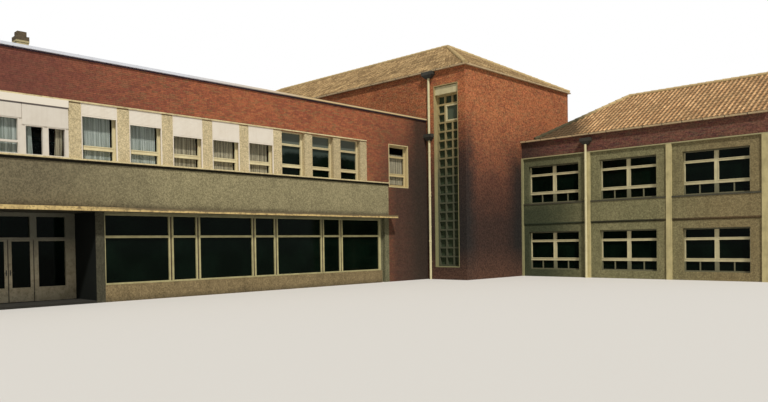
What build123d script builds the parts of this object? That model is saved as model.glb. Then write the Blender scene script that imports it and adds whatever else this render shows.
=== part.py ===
from build123d import *
from math import hypot
import os

# A school building in three ranges, in millimetres, +X east, +Y north, +Z up.
# The left wing has a flat roof and runs north to the main block, which stands
# across its end under a hipped roof. The right wing leaves the block's east
# side. The origin is the middle of the whole plan, at ground level.

# Plan
left_length = 24410
left_depth = 9540
block_length = 25400
block_depth = 9880
block_step = 2470
right_setback = 4920
right_depth = 8130

# Walls and floors
front_wall = 300
brick_wall = 350
ground_floor = 80
first_floor = 3500
second_floor = 6920
floor_slab = 350

# Left wing, heights
plinth_top = 570
canopy_bottom = 3020
canopy_height = 130
sill_top = 4725
sill_height = 45
window_height = 1825
parapet_top = 7990
coping_height = 90
coping_lip = 30
coping_front_lip = 75
flat_roof_top = 7300
flat_roof_slab = 250

# Left wing, along the front: the entrance from the south end, the band's end from the block
entrance_from_end = 4400
entrance_width = 6060
entrance_bay = 4440
band_end = 2850
pilaster = 415
window_width = 1222
row_end_least = 400
canopy_reach = 520
canopy_past_band = 110
sill_reach = 90
head_strip = 50
strip_reach = 20
pilaster_slot = 45
pilaster_slot_depth = 60

# Left wing, joinery
frame_setback = 180
frame_depth = 60
frame_width = 60
glass = 8
glass_edge = 20
upper_stile = 100
upper_foot = 35
low_bar_rise = 405
low_bar_width = 140
high_bar_drop = 550
bar_width = 80
sash_width = 32
sash_proud = 14
glazing_setback = 60
glazing_sash = 55
glazing_proud = 20
narrow_light = 915
light_post = 185
first_stile = 55
last_stile = 150
glazing_lights = 7
glazing_transom = 2190
glazing_head = 110
pier_width = 280
pier_recess_width = 210
pier_recess_depth = 150
shutter_drops = [430, 530, 740, 720, 680]
shutter_guide = 40
shutter_setback = 15
shutter_depth = 45
bay_side_drop = 930
bay_middle_drop = 735
bay_fascia_height = 230
bay_fascia_reach = 60
bay_box_reach = 25
bay_box_seam = 12
bay_panel_depth = 100
bay_middle_light = 1400
bay_side_lights = [(925, 1425), (1600, 2105)]
bay_bar_rise = 387
bay_bar_width = 65
curtain_gap = 15
curtain_depth = 30
curtain_side = 40
curtain_drop = 40
soft_clearance = 0.3
small_window_width = 1390
small_window_side = 1420
small_window_drop = 205
small_window_rise = 30
small_surround = 130

# Entrance porch
porch_depth = 1640
cheek = 300
door_frame_depth = 90
door_head = 2145
door_bottom_gap = 8
door_gap = 5
meeting_gap = 8
leaf_thickness = 45
middle_post = 140
leaf_opening = 1590
leaf_stile = 110
leaf_panel_top = 550
leaf_top_rail = 68
side_near_stile = 150
side_end_stile = 330
top_mullion = 210
top_light_rise = 55
top_light_head = 130
knuckle_radius = 10
knuckle_sides = 12
knuckle_length = 60
hinge_plate = 40
hinge_plate_depth = 4
hinge_heights = [330, 1850]
handle_height = 1050
handle_plate_width = 36
handle_plate_height = 180
handle_plate_depth = 6
handle_radius = 9
handle_sides = 8
handle_reach = 50
handle_length = 110

# Chimney on the flat roof
chimney_side = 400
chimney_from_front = 3100
chimney_from_end = 6310
chimney_shaft = 1665
chimney_head_lip = 15
chimney_head_height = 205
chimney_cap_side = 300
chimney_cap_height = 180

# Main block
block_eaves = 10450
block_ridge = 13160
roof_thickness = 220
eaves_overhang = 60
stair_from_corner = 500
stair_width = 1520
stair_bottom = 610
stair_head = 9640
stair_ring = 40
stair_panel_height = 380
stair_panel_gap = 30
stair_gap_setback = 140
stair_setback = 240
stair_panel_setback = 60
grille_bar = 80
grille_columns = 3
grille_rows = 19
casement_from_top = 3
casement_rows = 2
casement_frame = 70
casement_depth = 60
block_window_width = 2600
block_window_height = 1700
block_window_sill = 950
block_rear_count = 5
block_west_count = 3

# Right wing
first_pilaster = 110
right_pilaster = 250
first_bay = 3570
other_bay = 3730
right_bays = 3
right_eaves = 7130
right_ridge = 9460
hip_setback = 865
hip_run = 3260
hip_seat = 200
strip_slab = 120
right_brick_height = 950
right_storey = 3440
right_sill = 3810
right_window_height = 1960
right_first_window = 2870
first_window_margin = 295
right_window = 2800
right_window_setback = 180
right_sill_height = 70
right_sill_reach = 60
spandrel_bottom = 2740
spandrel_reach = 40
pilaster_reach = 70
right_mullion = 180
right_top_light = 363
right_transom = 115
right_low_row = 402
right_low_bar = 145
right_low_divider = 50
divider_setback = 15
verge = 50

# Gutters and rainwater pipes
gutter_width = 130
gutter_height = 70
gutter_wall = 6
gutter_joint = 0.5
pipe_radius = 60
pipe_stand_off = 20
pipe_from_corner = 250
bracket_height = 50
bracket_pitch = 1700
hopper_height = 320
hopper_depth = 240
hopper_throat = 170
hopper_taper = 0.45
top_hopper_width = 700
low_hopper_width = 480
low_hopper_top = 7280
right_hopper_width = 560
right_hopper_top = 6900
right_pipe_offset = 60

# Places worked out from the plan
right_length = first_pilaster + first_bay + right_bays * right_pilaster + (right_bays - 1) * other_bay
total_x = gutter_width + block_length + right_length + verge
total_y = coping_lip + left_length + right_setback + right_depth + gutter_width
block_west = -total_x / 2 + gutter_width
block_east = block_west + block_length
right_east = block_east + right_length
left_front = block_east - block_step
left_back = left_front - left_depth
left_south = -total_y / 2 + coping_lip
block_south = left_south + left_length
block_north = block_south + block_depth
right_front = block_south + right_setback
right_north = right_front + right_depth
band_north = block_south - band_end
entrance_y = left_south + entrance_from_end
door_face = left_front - porch_depth
bay_south = entrance_y - entrance_bay / 2
bay_north = entrance_y + entrance_bay / 2
window_pitch = window_width + pilaster
window_count = int((band_north - bay_north - pilaster - row_end_least) / window_pitch)
front_windows = [
    (bay_north + pilaster + k * window_pitch, bay_north + pilaster + k * window_pitch + window_width)
    for k in range(window_count)
]
south_window = (bay_south - pilaster - window_width, bay_south - pilaster)
row_north = front_windows[-1][1] + pilaster
glazing_south = entrance_y + entrance_width / 2 + cheek
plinth_north = band_north - pier_width - pier_recess_width
small_window = (block_south - small_window_side - small_window_width, block_south - small_window_side)
canopy_top = canopy_bottom + canopy_height
sill_bottom = sill_top - sill_height
window_head = sill_top + window_height
low_bar = sill_top + low_bar_rise
high_bar = window_head - high_bar_drop
small_window_bottom = sill_top - small_window_drop
small_window_top = window_head + small_window_rise
right_brick_bottom = right_eaves - right_brick_height
right_pilaster_limits = [(block_east, block_east + first_pilaster)]
for k in range(right_bays):
    start = right_pilaster_limits[-1][1] + (other_bay if k else first_bay)
    right_pilaster_limits.append((start, start + right_pilaster))
bay_limits = [(near[1], far[0]) for near, far in zip(right_pilaster_limits, right_pilaster_limits[1:])]


def elevation(place, facing):
    """The outer face of a wall, with global X or Y across and Z up, and the sign that leads indoors."""
    if facing in "EW":
        plane = Plane(origin=(place, 0, 0), x_dir=(0, 1, 0), z_dir=(1, 0, 0))
    else:
        plane = Plane(origin=(0, place, 0), x_dir=(1, 0, 0), z_dir=(0, -1, 0))
    return plane, -1 if facing in "ES" else 1


def rects(limits, mode=Mode.ADD):
    """Adds to the sketch being drawn each rectangle between two limits across and two up."""
    faces = []
    for across, up in limits:
        with Locations(((across[0] + across[1]) / 2, (up[0] + up[1]) / 2)):
            faces.append(Rectangle(across[1] - across[0], up[1] - up[0], mode=Mode.PRIVATE))
    add(faces, mode=mode)


def panels(face, pieces, setback, depth):
    """Adds flat pieces, each with its holes, from their setback behind the wall face to their depth further in."""
    plane, inward = face
    holes = [hole for piece in pieces for hole in piece[2]]
    with BuildSketch(plane.offset(inward * setback)) as outline:
        rects([piece[:2] for piece in pieces])
        if holes:
            rects(holes, mode=Mode.SUBTRACT)
    extrude(outline.sketch, amount=inward * depth)


def panel(face, across, up, holes, setback, depth):
    panels(face, [(across, up, holes)], setback, depth)


def block(x, y, z):
    """Adds the straight block between two limits on each axis."""
    with BuildSketch(Plane.XY.offset(z[0])) as foot:
        rects([(x, y)])
    extrude(foot.sketch, amount=z[1] - z[0])


def inset(limits, margin):
    return limits[0] + margin, limits[1] - margin


def rings(face, lights, width, setback, proud):
    """A flat ring round each light, standing proud of the frame that holds it."""
    panels(face, [(inset(across, -width), inset(up, -width), [(across, up)]) for across, up in lights],
           setback - proud, proud)


def sheets(holes):
    """One sheet of glass for each hole, a little smaller all round."""
    return [(inset(across, glass_edge), inset(up, glass_edge), []) for across, up in holes]


def save(part, name):
    part.label = name
    os.makedirs("parts", exist_ok=True)
    export_step(part, f"parts/{name}.step")


def stacked_lights(across, up, border, bars):
    """Lights one above the other between level bars, inside a border at each side, at the foot and at the head."""
    side, foot, head = border
    edges = [up[0] + foot]
    for height, width in bars:
        edges += [height - width / 2, height + width / 2]
    edges.append(up[1] - head)
    return [(inset(across, side), limits) for limits in zip(edges[::2], edges[1::2])]


def wing_lights(across, sill):
    """Two top lights over two large ones, and the two openings of the low row."""
    left, right = inset(across, frame_width)
    middle = (left + right) / 2
    top = sill + right_window_height - frame_width
    transom = top - right_top_light
    low_top = sill + frame_width + right_low_row
    upper_lights, low_row = [], []
    for half in [(left, middle - right_mullion / 2), (middle + right_mullion / 2, right)]:
        upper_lights += [(half, (transom, top)), (half, (low_top + right_low_bar, transom - right_transom))]
        low_row.append((half, (sill + frame_width, low_top)))
    return upper_lights, low_row


def storey_panes(across, up):
    """A pair of equal lights, as in the block's rear windows."""
    left, right = inset(across, frame_width)
    middle = (left + right) / 2
    height = inset(up, frame_width)
    return [((left, middle - bar_width / 2), height), ((middle + bar_width / 2, right), height)]


def one_pane(across, up):
    return [(inset(across, frame_width), inset(up, frame_width))]


left_face = elevation(left_front, "E")
left_rear = elevation(left_back, "W")
left_end = elevation(left_south, "S")
door_plane = elevation(door_face, "E")
block_face = elevation(block_south, "S")
block_side = elevation(block_east, "E")
block_rear = elevation(block_north, "N")
block_end = elevation(block_west, "W")
right_face = elevation(right_front, "S")
right_rear = elevation(right_north, "N")
right_end = elevation(right_east, "E")

# Left wing: plinth, piers, render band, pilasters and brick
with BuildPart() as left_plinth:
    panel(left_face, (glazing_south, plinth_north), (0, plinth_top), [], 0, front_wall)
save(left_plinth.part, "left_plinth")

pier_steps = [
    (left_front - pier_recess_depth, plinth_north),
    (left_front - pier_recess_depth, plinth_north + pier_recess_width),
    (left_front, plinth_north + pier_recess_width),
    (left_front, band_north),
    (left_front - front_wall, band_north),
    (left_front - front_wall, plinth_north),
]
with BuildPart() as left_end_pier:
    with BuildSketch():
        with BuildLine():
            Polyline(*pier_steps, close=True)
        make_face()
    extrude(amount=canopy_bottom)
save(left_end_pier.part, "left_end_pier")

porch_south = entrance_y - entrance_width / 2
porch_north = entrance_y + entrance_width / 2
porch_back = door_face - door_frame_depth
with BuildPart() as porch_walls:
    with BuildSketch():
        rects([
            ((left_front - front_wall, left_front), (left_south, porch_south)),
            ((porch_back, left_front), (porch_south - cheek, porch_south)),
            ((porch_back, left_front), (porch_north, porch_north + cheek)),
        ])
    extrude(amount=canopy_bottom)
save(porch_walls.part, "porch_walls")

with BuildPart() as canopy_slab:
    with BuildSketch(Plane.XY.offset(canopy_bottom)):
        rects([
            ((left_front, left_front + canopy_reach), (left_south, band_north + canopy_past_band)),
            ((left_front - front_wall, left_front), (left_south, band_north)),
            ((porch_back, left_front), (porch_south - cheek, porch_north + cheek)),
        ])
    extrude(amount=canopy_top - canopy_bottom)
save(canopy_slab.part, "canopy_slab")

with BuildPart() as left_render_band:
    panel(left_face, (left_south, band_north), (canopy_top, sill_bottom), [], 0, front_wall)
save(left_render_band.part, "left_render_band")

upper = (sill_top, window_head)
pilaster_limits = [(left_south, south_window[0]), (south_window[1], bay_south), (bay_north, front_windows[0][0])]
pilaster_limits += [(window[1], window[1] + pilaster) for window in front_windows]
with BuildPart() as left_pilasters:
    below_slot = (sill_top, window_head - pilaster_slot)
    panels(left_face, [(limits, below_slot, []) for limits in pilaster_limits], 0, front_wall)
    panels(left_face, [(limits, (below_slot[1], window_head), []) for limits in pilaster_limits],
           pilaster_slot_depth, front_wall - pilaster_slot_depth)
save(left_pilasters.part, "left_pilasters")

small_hole = (small_window, (small_window_bottom, small_window_top))
with BuildPart() as left_front_brick:
    with BuildSketch(left_face[0]):
        rects([
            ((left_south, block_south), (window_head, parapet_top)),
            ((row_north, block_south), (sill_top, parapet_top)),
            ((band_north, block_south), (0, parapet_top)),
        ])
        rects([small_hole], mode=Mode.SUBTRACT)
    extrude(amount=-front_wall)
save(left_front_brick.part, "left_front_brick")

left_middle = (left_back + left_front) / 2
end_window_x = (left_middle - small_window_width / 2, left_middle + small_window_width / 2)
end_window_sizes = [(small_window_bottom, small_window_top),
                    (small_window_bottom - first_floor, small_window_top - first_floor)]
with BuildPart() as left_end_wall:
    panel(left_end, (left_back, left_front - front_wall), (0, parapet_top),
          [(end_window_x, up) for up in end_window_sizes], 0, brick_wall)
save(left_end_wall.part, "left_end_wall")

rear_windows = front_windows + [south_window]
rear_levels = [(sill_top - first_floor, window_head - first_floor), (sill_top, window_head)]
with BuildPart() as left_rear_wall:
    panel(left_rear, (left_south + brick_wall, block_south), (0, parapet_top),
          [(window, up) for window in rear_windows for up in rear_levels], 0, brick_wall)
save(left_rear_wall.part, "left_rear_wall")

with BuildPart() as left_coping:
    with BuildSketch(Plane.XY.offset(parapet_top)):
        rects([((left_back - coping_lip, left_front + coping_front_lip), (left_south - coping_lip, block_south))])
        rects([((left_back + brick_wall + coping_lip, left_front - front_wall - coping_lip),
                (left_south + brick_wall + coping_lip, block_south))], mode=Mode.SUBTRACT)
    extrude(amount=coping_height)
save(left_coping.part, "left_coping")

# Floors and the flat roof
left_inside_x = (left_back + brick_wall, left_front - front_wall)
left_inside_y = (left_south + brick_wall, block_south)
block_inside_x = (block_west + brick_wall, block_east - brick_wall)
block_inside_y = (block_south + brick_wall, block_north - brick_wall)
right_inside_x = (block_east, right_east - brick_wall)
right_inside_y = (right_front + front_wall, right_north - brick_wall)
with BuildPart() as ground_slabs:
    with BuildSketch():
        rects([
            ((left_inside_x[0], porch_back), left_inside_y),
            ((porch_back, left_front), (porch_south, porch_north)),
            ((porch_back, left_inside_x[1]), (left_inside_y[0], porch_south - cheek)),
            ((porch_back, left_inside_x[1]), (porch_north + cheek, left_inside_y[1])),
            (block_inside_x, block_inside_y),
            (right_inside_x, (right_inside_y[0], block_north)),
            ((block_east + brick_wall, right_inside_x[1]), right_inside_y),
        ])
    extrude(amount=ground_floor)
save(ground_slabs.part, "ground_slabs")

with BuildPart() as upper_floors:
    for x, y, levels in [(left_inside_x, left_inside_y, [first_floor]),
                         (block_inside_x, block_inside_y, [first_floor, second_floor]),
                         ((block_east + brick_wall, right_inside_x[1]), right_inside_y, [first_floor])]:
        for level in levels:
            block(x, y, (level - floor_slab, level))
save(upper_floors.part, "upper_floors")

hip_foot = block_east + hip_setback
with BuildPart() as flat_roof:
    block(left_inside_x, left_inside_y, (flat_roof_top - flat_roof_slab, flat_roof_top))
    with BuildSketch(Plane.XY.offset(right_eaves - strip_slab)):
        rects([
            ((block_east, hip_foot + hip_seat), (right_inside_y[0], block_north)),
            ((block_east + brick_wall, hip_foot + hip_seat), right_inside_y),
        ])
    extrude(amount=strip_slab)
save(flat_roof.part, "flat_roof")

chimney_x = left_front - chimney_from_front
chimney_y = left_south + chimney_from_end
chimney_head = flat_roof_top + chimney_shaft
with BuildPart() as chimney:
    for side, low, high in [
        (chimney_side, flat_roof_top, chimney_head),
        (chimney_side + 2 * chimney_head_lip, chimney_head, chimney_head + chimney_head_height),
        (chimney_cap_side, chimney_head + chimney_head_height,
         chimney_head + chimney_head_height + chimney_cap_height),
    ]:
        block((chimney_x - side / 2, chimney_x + side / 2), (chimney_y - side / 2, chimney_y + side / 2), (low, high))
save(chimney.part, "chimney")

# Left wing: ground-floor glazing
narrow_count = glazing_lights // 2
posts = (glazing_lights - 1) * light_post
glazing_run = plinth_north - glazing_south - first_stile - last_stile - posts
wide_light = (glazing_run - narrow_count * narrow_light) / (glazing_lights - narrow_count)
lights = []
light_start = glazing_south + first_stile
for k in range(glazing_lights):
    width = narrow_light if k % 2 else wide_light
    lights.append((light_start, light_start + width))
    light_start += width + light_post
light_rows = [(plinth_top + frame_width, glazing_transom - bar_width / 2),
              (glazing_transom + bar_width / 2, canopy_bottom - glazing_head)]
glazing_holes = [(light, row) for light in lights for row in light_rows]
with BuildPart() as left_glazing_frame:
    panel(left_face, (glazing_south, plinth_north), (plinth_top, canopy_bottom), glazing_holes,
          glazing_setback + glazing_proud, frame_depth - glazing_proud)
    rings(left_face, glazing_holes, glazing_sash, glazing_setback + glazing_proud, glazing_proud)
save(left_glazing_frame.part, "left_glazing_frame")

# Left wing: upper windows, roller shutters, bay over the entrance, curtains
shuttered = list(zip(front_windows, shutter_drops)) + [(south_window, shutter_drops[0])]
covered = [window for window, drop in shuttered]
window_border = (upper_stile, upper_foot, frame_width)
window_bars = [(low_bar, low_bar_width), (high_bar, bar_width)]
with BuildPart() as left_upper_frames:
    frames = [(window, upper, stacked_lights(window, upper, window_border, window_bars[:1])) for window in covered]
    for window in front_windows[len(shutter_drops):]:
        frames.append((window, upper, stacked_lights(window, upper, window_border, window_bars)))
    frames.append((*small_hole, stacked_lights(*small_hole, (small_surround,) * 3, window_bars)))
    panels(left_face, frames, frame_setback, frame_depth)
    rings(left_face, [light for frame in frames for light in frame[2]], sash_width, frame_setback, sash_proud)
save(left_upper_frames.part, "left_upper_frames")

with BuildPart() as roller_shutters:
    panels(left_face, [(window, upper, [(inset(window, shutter_guide), (sill_top, window_head - drop))])
                       for window, drop in shuttered], shutter_setback, shutter_depth)
save(roller_shutters.part, "roller_shutters")

bay_light_bottom = sill_top + sash_width
bay_middle = (entrance_y - bay_middle_light / 2, entrance_y + bay_middle_light / 2)
bay_bar = sill_top + bay_bar_rise
bay_lights = [
    (bay_middle, (bay_light_bottom, bay_bar - bay_bar_width / 2)),
    (bay_middle, (bay_bar + bay_bar_width / 2, window_head - bay_middle_drop)),
]
for side in (-1, 1):
    for near, far in bay_side_lights:
        limits = tuple(sorted((entrance_y + side * near, entrance_y + side * far)))
        bay_lights.append((limits, (bay_light_bottom, window_head - bay_side_drop)))
bay_seam = (bay_middle_light / 2 + bay_side_lights[0][0]) / 2
bay_seams = [bay_south, entrance_y - bay_seam, entrance_y + bay_seam, bay_north]
bay_drops = [bay_side_drop, bay_middle_drop, bay_side_drop]
with BuildPart() as entrance_bay:
    panel(left_face, (bay_south, bay_north), upper, bay_lights, 0, bay_panel_depth)
    panels(left_face, [(inset(limits, bay_box_seam / 2), (window_head - drop + sash_width, window_head), [])
                       for limits, drop in zip(zip(bay_seams, bay_seams[1:]), bay_drops)],
           -bay_box_reach, bay_box_reach)
    rings(left_face, bay_lights, sash_width, 0, sash_proud)
    panel(left_face, (bay_south, bay_north), (window_head - bay_fascia_height, window_head), [],
          -bay_fascia_reach, bay_fascia_reach)
save(entrance_bay.part, "entrance_bay")

curtain_setback = frame_setback + frame_depth + glass + curtain_gap
with BuildPart() as curtains:
    panels(left_face, [(inset(window, curtain_side), (sill_top + curtain_drop, window_head - soft_clearance), [])
                       for window, drop in shuttered], curtain_setback, curtain_depth)
save(curtains.part, "curtains")

# String courses: sills and thin strips of both wings
with BuildPart() as string_courses:
    panel(left_face, (left_south, band_north), (sill_bottom, sill_top), [], -sill_reach, front_wall + sill_reach)
    panel(left_face, (left_south, row_north), (window_head, window_head + head_strip), [], -strip_reach, strip_reach)
    panels(right_face, [(bay, (right_sill - right_sill_height, right_sill), []) for bay in bay_limits],
           -right_sill_reach, right_sill_reach)
    panel(right_face, (block_east, right_east), (right_brick_bottom, right_brick_bottom + head_strip), [],
          -pilaster_reach, pilaster_reach)
save(string_courses.part, "string_courses")

# Entrance: side lights, top lights, middle post and four leaves
leaf_edge = middle_post / 2
opening_edge = leaf_edge + leaf_opening
end_stile = entrance_width / 2 - side_end_stile
top_light_heights = (door_head + top_light_rise, canopy_bottom - top_light_head)
side_lights, top_lights = [], []
for side in (-1, 1):
    limits = tuple(sorted((entrance_y + side * opening_edge, entrance_y + side * entrance_width / 2)))
    hole = tuple(sorted((entrance_y + side * (opening_edge + side_near_stile), entrance_y + side * end_stile)))
    side_lights.append((limits, (ground_floor, door_head), [(hole, (leaf_panel_top, door_head - leaf_top_rail))]))
    for near, far in [(leaf_edge, opening_edge - top_mullion / 2), (opening_edge + top_mullion / 2, end_stile)]:
        top_lights.append((tuple(sorted((entrance_y + side * near, entrance_y + side * far))), top_light_heights))
with BuildPart() as entrance_top_lights:
    panel(door_plane, (porch_south, porch_north), (door_head, canopy_bottom), top_lights, 0, door_frame_depth)
save(entrance_top_lights.part, "entrance_top_lights")

hinge_x = door_face + knuckle_radius + hinge_plate_depth


def knuckle(x, y, z, plate_side):
    """One half of a butt hinge: a knuckle at the axis with a plate on the outer face beside it."""
    with BuildSketch(Plane(origin=(x, y, z))) as outline:
        RegularPolygon(knuckle_radius, knuckle_sides)
    extrude(outline.sketch, amount=knuckle_length)
    plate_y = sorted((y, y + plate_side * hinge_plate))
    block((door_face, x), plate_y, (z, z + knuckle_length))


leaf_width = (leaf_opening - 2 * door_gap - meeting_gap) / 2
leaf_names = ["far_south", "mid_south", "mid_north", "far_north"]
hinge_lines = [
    (entrance_y - opening_edge, 1),
    (entrance_y - leaf_edge, -1),
    (entrance_y + leaf_edge, 1),
    (entrance_y + opening_edge, -1),
]
for name, (hinge_y, opens) in zip(leaf_names, hinge_lines):
    near = hinge_y + opens * door_gap
    far = near + opens * leaf_width
    limits = tuple(sorted((near, far)))
    heights = (ground_floor + door_bottom_gap, door_head - door_gap)
    pane = (inset(limits, leaf_stile), (leaf_panel_top, door_head - door_gap - leaf_top_rail))
    with BuildPart() as leaf:
        panel(door_plane, limits, heights, [pane], 0, leaf_thickness)
        for height in hinge_heights:
            knuckle(hinge_x, hinge_y + opens * door_gap / 2, height + knuckle_length + soft_clearance, opens)
    save(leaf.part, f"door_leaf_{name}")
    with BuildPart() as leaf_pane:
        panel(door_plane, *pane, [], leaf_thickness / 2 - glass / 2, glass)
    save(leaf_pane.part, f"door_glass_{name}")
    handle_y = far - opens * leaf_stile / 2
    with BuildPart() as handle:
        panel(door_plane, (handle_y - handle_plate_width / 2, handle_y + handle_plate_width / 2),
              (handle_height - handle_plate_height / 2, handle_height + handle_plate_height / 2),
              [], -handle_plate_depth, handle_plate_depth)
        with BuildSketch(Plane(origin=(door_face, handle_y, handle_height), z_dir=(1, 0, 0))):
            RegularPolygon(handle_radius, handle_sides, major_radius=False, rotation=180 / handle_sides)
        extrude(amount=handle_reach)
        grip = (door_face + handle_reach - handle_radius, handle_y + opens * handle_radius, handle_height)
        with BuildSketch(Plane(origin=grip, z_dir=(0, -opens, 0))):
            RegularPolygon(handle_radius, handle_sides, major_radius=False, rotation=180 / handle_sides)
        extrude(amount=handle_length)
    save(handle.part, f"door_handle_{name}")

with BuildPart() as entrance_frame:
    panels(door_plane, side_lights, 0, door_frame_depth)
    panel(door_plane, (entrance_y - leaf_edge, entrance_y + leaf_edge), (ground_floor, door_head),
          [], 0, door_frame_depth)
    for hinge_y, opens in hinge_lines:
        for height in hinge_heights:
            knuckle(hinge_x, hinge_y + opens * door_gap / 2, height, -opens)
save(entrance_frame.part, "entrance_frame")

# Main block: walls with their windows, stair window
rear_margin = (block_length - block_rear_count * block_window_width) / (block_rear_count + 1)
rear_starts = [block_west + rear_margin + k * (block_window_width + rear_margin) for k in range(block_rear_count)]
block_rear_windows = [(start, start + block_window_width) for start in rear_starts]
block_levels = [(level + block_window_sill, level + block_window_sill + block_window_height)
                for level in (ground_floor, first_floor, second_floor)]
west_margin = (left_back - block_west - block_west_count * block_window_width) / (block_west_count + 1)
west_starts = [block_west + west_margin + k * (block_window_width + west_margin) for k in range(block_west_count)]
block_front_windows = [(start, start + block_window_width) for start in west_starts]
stair_x = (left_front + stair_from_corner, left_front + stair_from_corner + stair_width)
stair_hole = (stair_x, (stair_bottom, stair_head))
stair_clear = inset(stair_x, stair_ring)
stair_clear_z = inset(stair_hole[1], stair_ring)
stair_panel_top = stair_clear_z[1] - stair_panel_gap
stair_panel_bottom = stair_panel_top - stair_panel_height
with BuildPart() as block_south_wall:
    panel(block_face, (block_west, block_east), (0, block_eaves),
          [(window, up) for window in block_front_windows for up in block_levels] + [stair_hole], 0, brick_wall)
save(block_south_wall.part, "block_south_wall")

with BuildPart() as block_north_wall:
    panel(block_rear, (block_west, block_east), (0, block_eaves),
          [(window, up) for window in block_rear_windows for up in block_levels], 0, brick_wall)
save(block_north_wall.part, "block_north_wall")

with BuildPart() as block_end_walls:
    for end in (block_side, block_end):
        panel(end, block_inside_y, (0, block_eaves), [], 0, brick_wall)
save(block_end_walls.part, "block_end_walls")

grille_depth = brick_wall - stair_setback - glass
grille_pitch_x = (stair_clear[1] - stair_clear[0] - grille_bar) / grille_columns
grille_pitch_z = (stair_panel_bottom - stair_clear_z[0] - grille_bar) / grille_rows
casement_low = stair_panel_bottom - grille_bar - casement_from_top * grille_pitch_z
casement_x = (stair_clear[0] + grille_pitch_x + grille_bar, stair_clear[1] - grille_bar)
casement_z = (casement_low + grille_bar, casement_low + casement_rows * grille_pitch_z)
grille_middle = ((stair_x[0] + stair_x[1]) / 2, (stair_clear_z[0] + stair_panel_bottom) / 2)
with BuildPart() as stair_grille:
    panel(block_face, *stair_hole, [(stair_clear, stair_clear_z)], 0, stair_setback + grille_depth)
    with BuildSketch(block_face[0].offset(-stair_setback)):
        rects([(stair_clear, (stair_clear_z[0], stair_panel_bottom))])
        with Locations(grille_middle):
            with GridLocations(grille_pitch_x, grille_pitch_z, grille_columns, grille_rows):
                Rectangle(grille_pitch_x - grille_bar, grille_pitch_z - grille_bar, mode=Mode.SUBTRACT)
        rects([(casement_x, casement_z)], mode=Mode.SUBTRACT)
    extrude(amount=-grille_depth)
save(stair_grille.part, "stair_grille")

with BuildPart() as stair_joinery:
    panel(block_face, casement_x, casement_z,
          [(inset(casement_x, casement_frame), inset(casement_z, casement_frame))], stair_setback, casement_depth)
    panel(block_face, stair_clear, (stair_panel_bottom, stair_panel_top),
          [], stair_panel_setback, brick_wall - stair_panel_setback)
    panel(block_face, stair_clear, (stair_panel_top, stair_clear_z[1]),
          [], stair_gap_setback, brick_wall - stair_gap_setback)
save(stair_joinery.part, "stair_joinery")

# Right wing: infill, pilasters, brick, gable end and rear
first_window = bay_limits[0][0] + first_window_margin
right_windows = [(first_window, first_window + right_first_window)]
for bay in bay_limits[1:]:
    centre = (bay[0] + bay[1]) / 2
    right_windows.append((centre - right_window / 2, centre + right_window / 2))
right_sills = [right_sill - right_storey, right_sill]
right_holes = [(window, (sill, sill + right_window_height)) for window in right_windows for sill in right_sills]
with BuildPart() as right_infill:
    panel(right_face, (block_east, right_east), (0, right_brick_bottom), right_holes, 0, front_wall)
    panels(right_face, [(bay, (spandrel_bottom, right_sill - right_sill_height), []) for bay in bay_limits],
           -spandrel_reach, spandrel_reach)
save(right_infill.part, "right_infill")

with BuildPart() as right_pilasters:
    panels(right_face, [(limits, (0, right_brick_bottom), []) for limits in right_pilaster_limits],
           -pilaster_reach, pilaster_reach)
save(right_pilasters.part, "right_pilasters")

with BuildPart() as right_brick_band:
    panel(right_face, (block_east, right_east), (right_brick_bottom, right_eaves), [], 0, front_wall)
save(right_brick_band.part, "right_brick_band")

with BuildPart() as right_rear_wall:
    panel(right_rear, (block_east, right_east), (0, right_eaves), right_holes, 0, brick_wall)
save(right_rear_wall.part, "right_rear_wall")

with BuildPart() as right_return_wall:
    block((block_east, block_east + brick_wall), (block_north, right_north - brick_wall), (0, right_eaves))
save(right_return_wall.part, "right_return_wall")

right_middle = (right_front + right_north) / 2
right_run = right_depth / 2 + eaves_overhang
right_slope = (right_ridge - right_eaves) / right_run
right_drop = roof_thickness * hypot(1, right_slope)
gable_foot = right_ridge - right_drop - right_slope * (right_middle - right_inside_y[0])
gable_rear_foot = right_ridge - right_drop - right_slope * (right_inside_y[1] - right_middle)
gable_outline = [
    (right_inside_y[0], 0),
    (right_inside_y[1], 0),
    (right_inside_y[1], gable_rear_foot),
    (right_middle, right_ridge - right_drop),
    (right_inside_y[0], gable_foot),
]
with BuildPart() as right_gable_wall:
    with BuildSketch(right_end[0]):
        with BuildLine():
            Polyline(*gable_outline, close=True)
        make_face()
    extrude(amount=-brick_wall)
save(right_gable_wall.part, "right_gable_wall")

with BuildPart() as right_frames:
    for window, up in right_holes:
        upper_lights, low_row = wing_lights(window, up[0])
        panel(right_face, window, up, upper_lights + low_row, right_window_setback, frame_depth)
        rings(right_face, upper_lights, sash_width, right_window_setback, sash_proud)
        for across, low in low_row:
            middle = (across[0] + across[1]) / 2
            panel(right_face, (middle - right_low_divider / 2, middle + right_low_divider / 2), low, [],
                  right_window_setback + divider_setback, frame_depth - divider_setback)
save(right_frames.part, "right_frames")

# Windows of the sides turned away from the front
rear_holes = [
    (right_rear, right_holes, storey_panes),
    (block_rear, [(window, up) for window in block_rear_windows for up in block_levels], storey_panes),
    (block_face, [(window, up) for window in block_front_windows for up in block_levels], storey_panes),
    (left_rear, [(window, up) for window in rear_windows for up in rear_levels], one_pane),
    (left_end, [(end_window_x, up) for up in end_window_sizes], one_pane),
]
with BuildPart() as rear_frames:
    for face, holes, panes in rear_holes:
        panels(face, [(across, up, panes(across, up)) for across, up in holes], frame_setback, frame_depth)
save(rear_frames.part, "rear_frames")

with BuildPart() as rear_glass:
    for face, holes, panes in rear_holes:
        panels(face, sheets(holes), frame_setback + frame_depth, glass)
save(rear_glass.part, "rear_glass")

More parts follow.
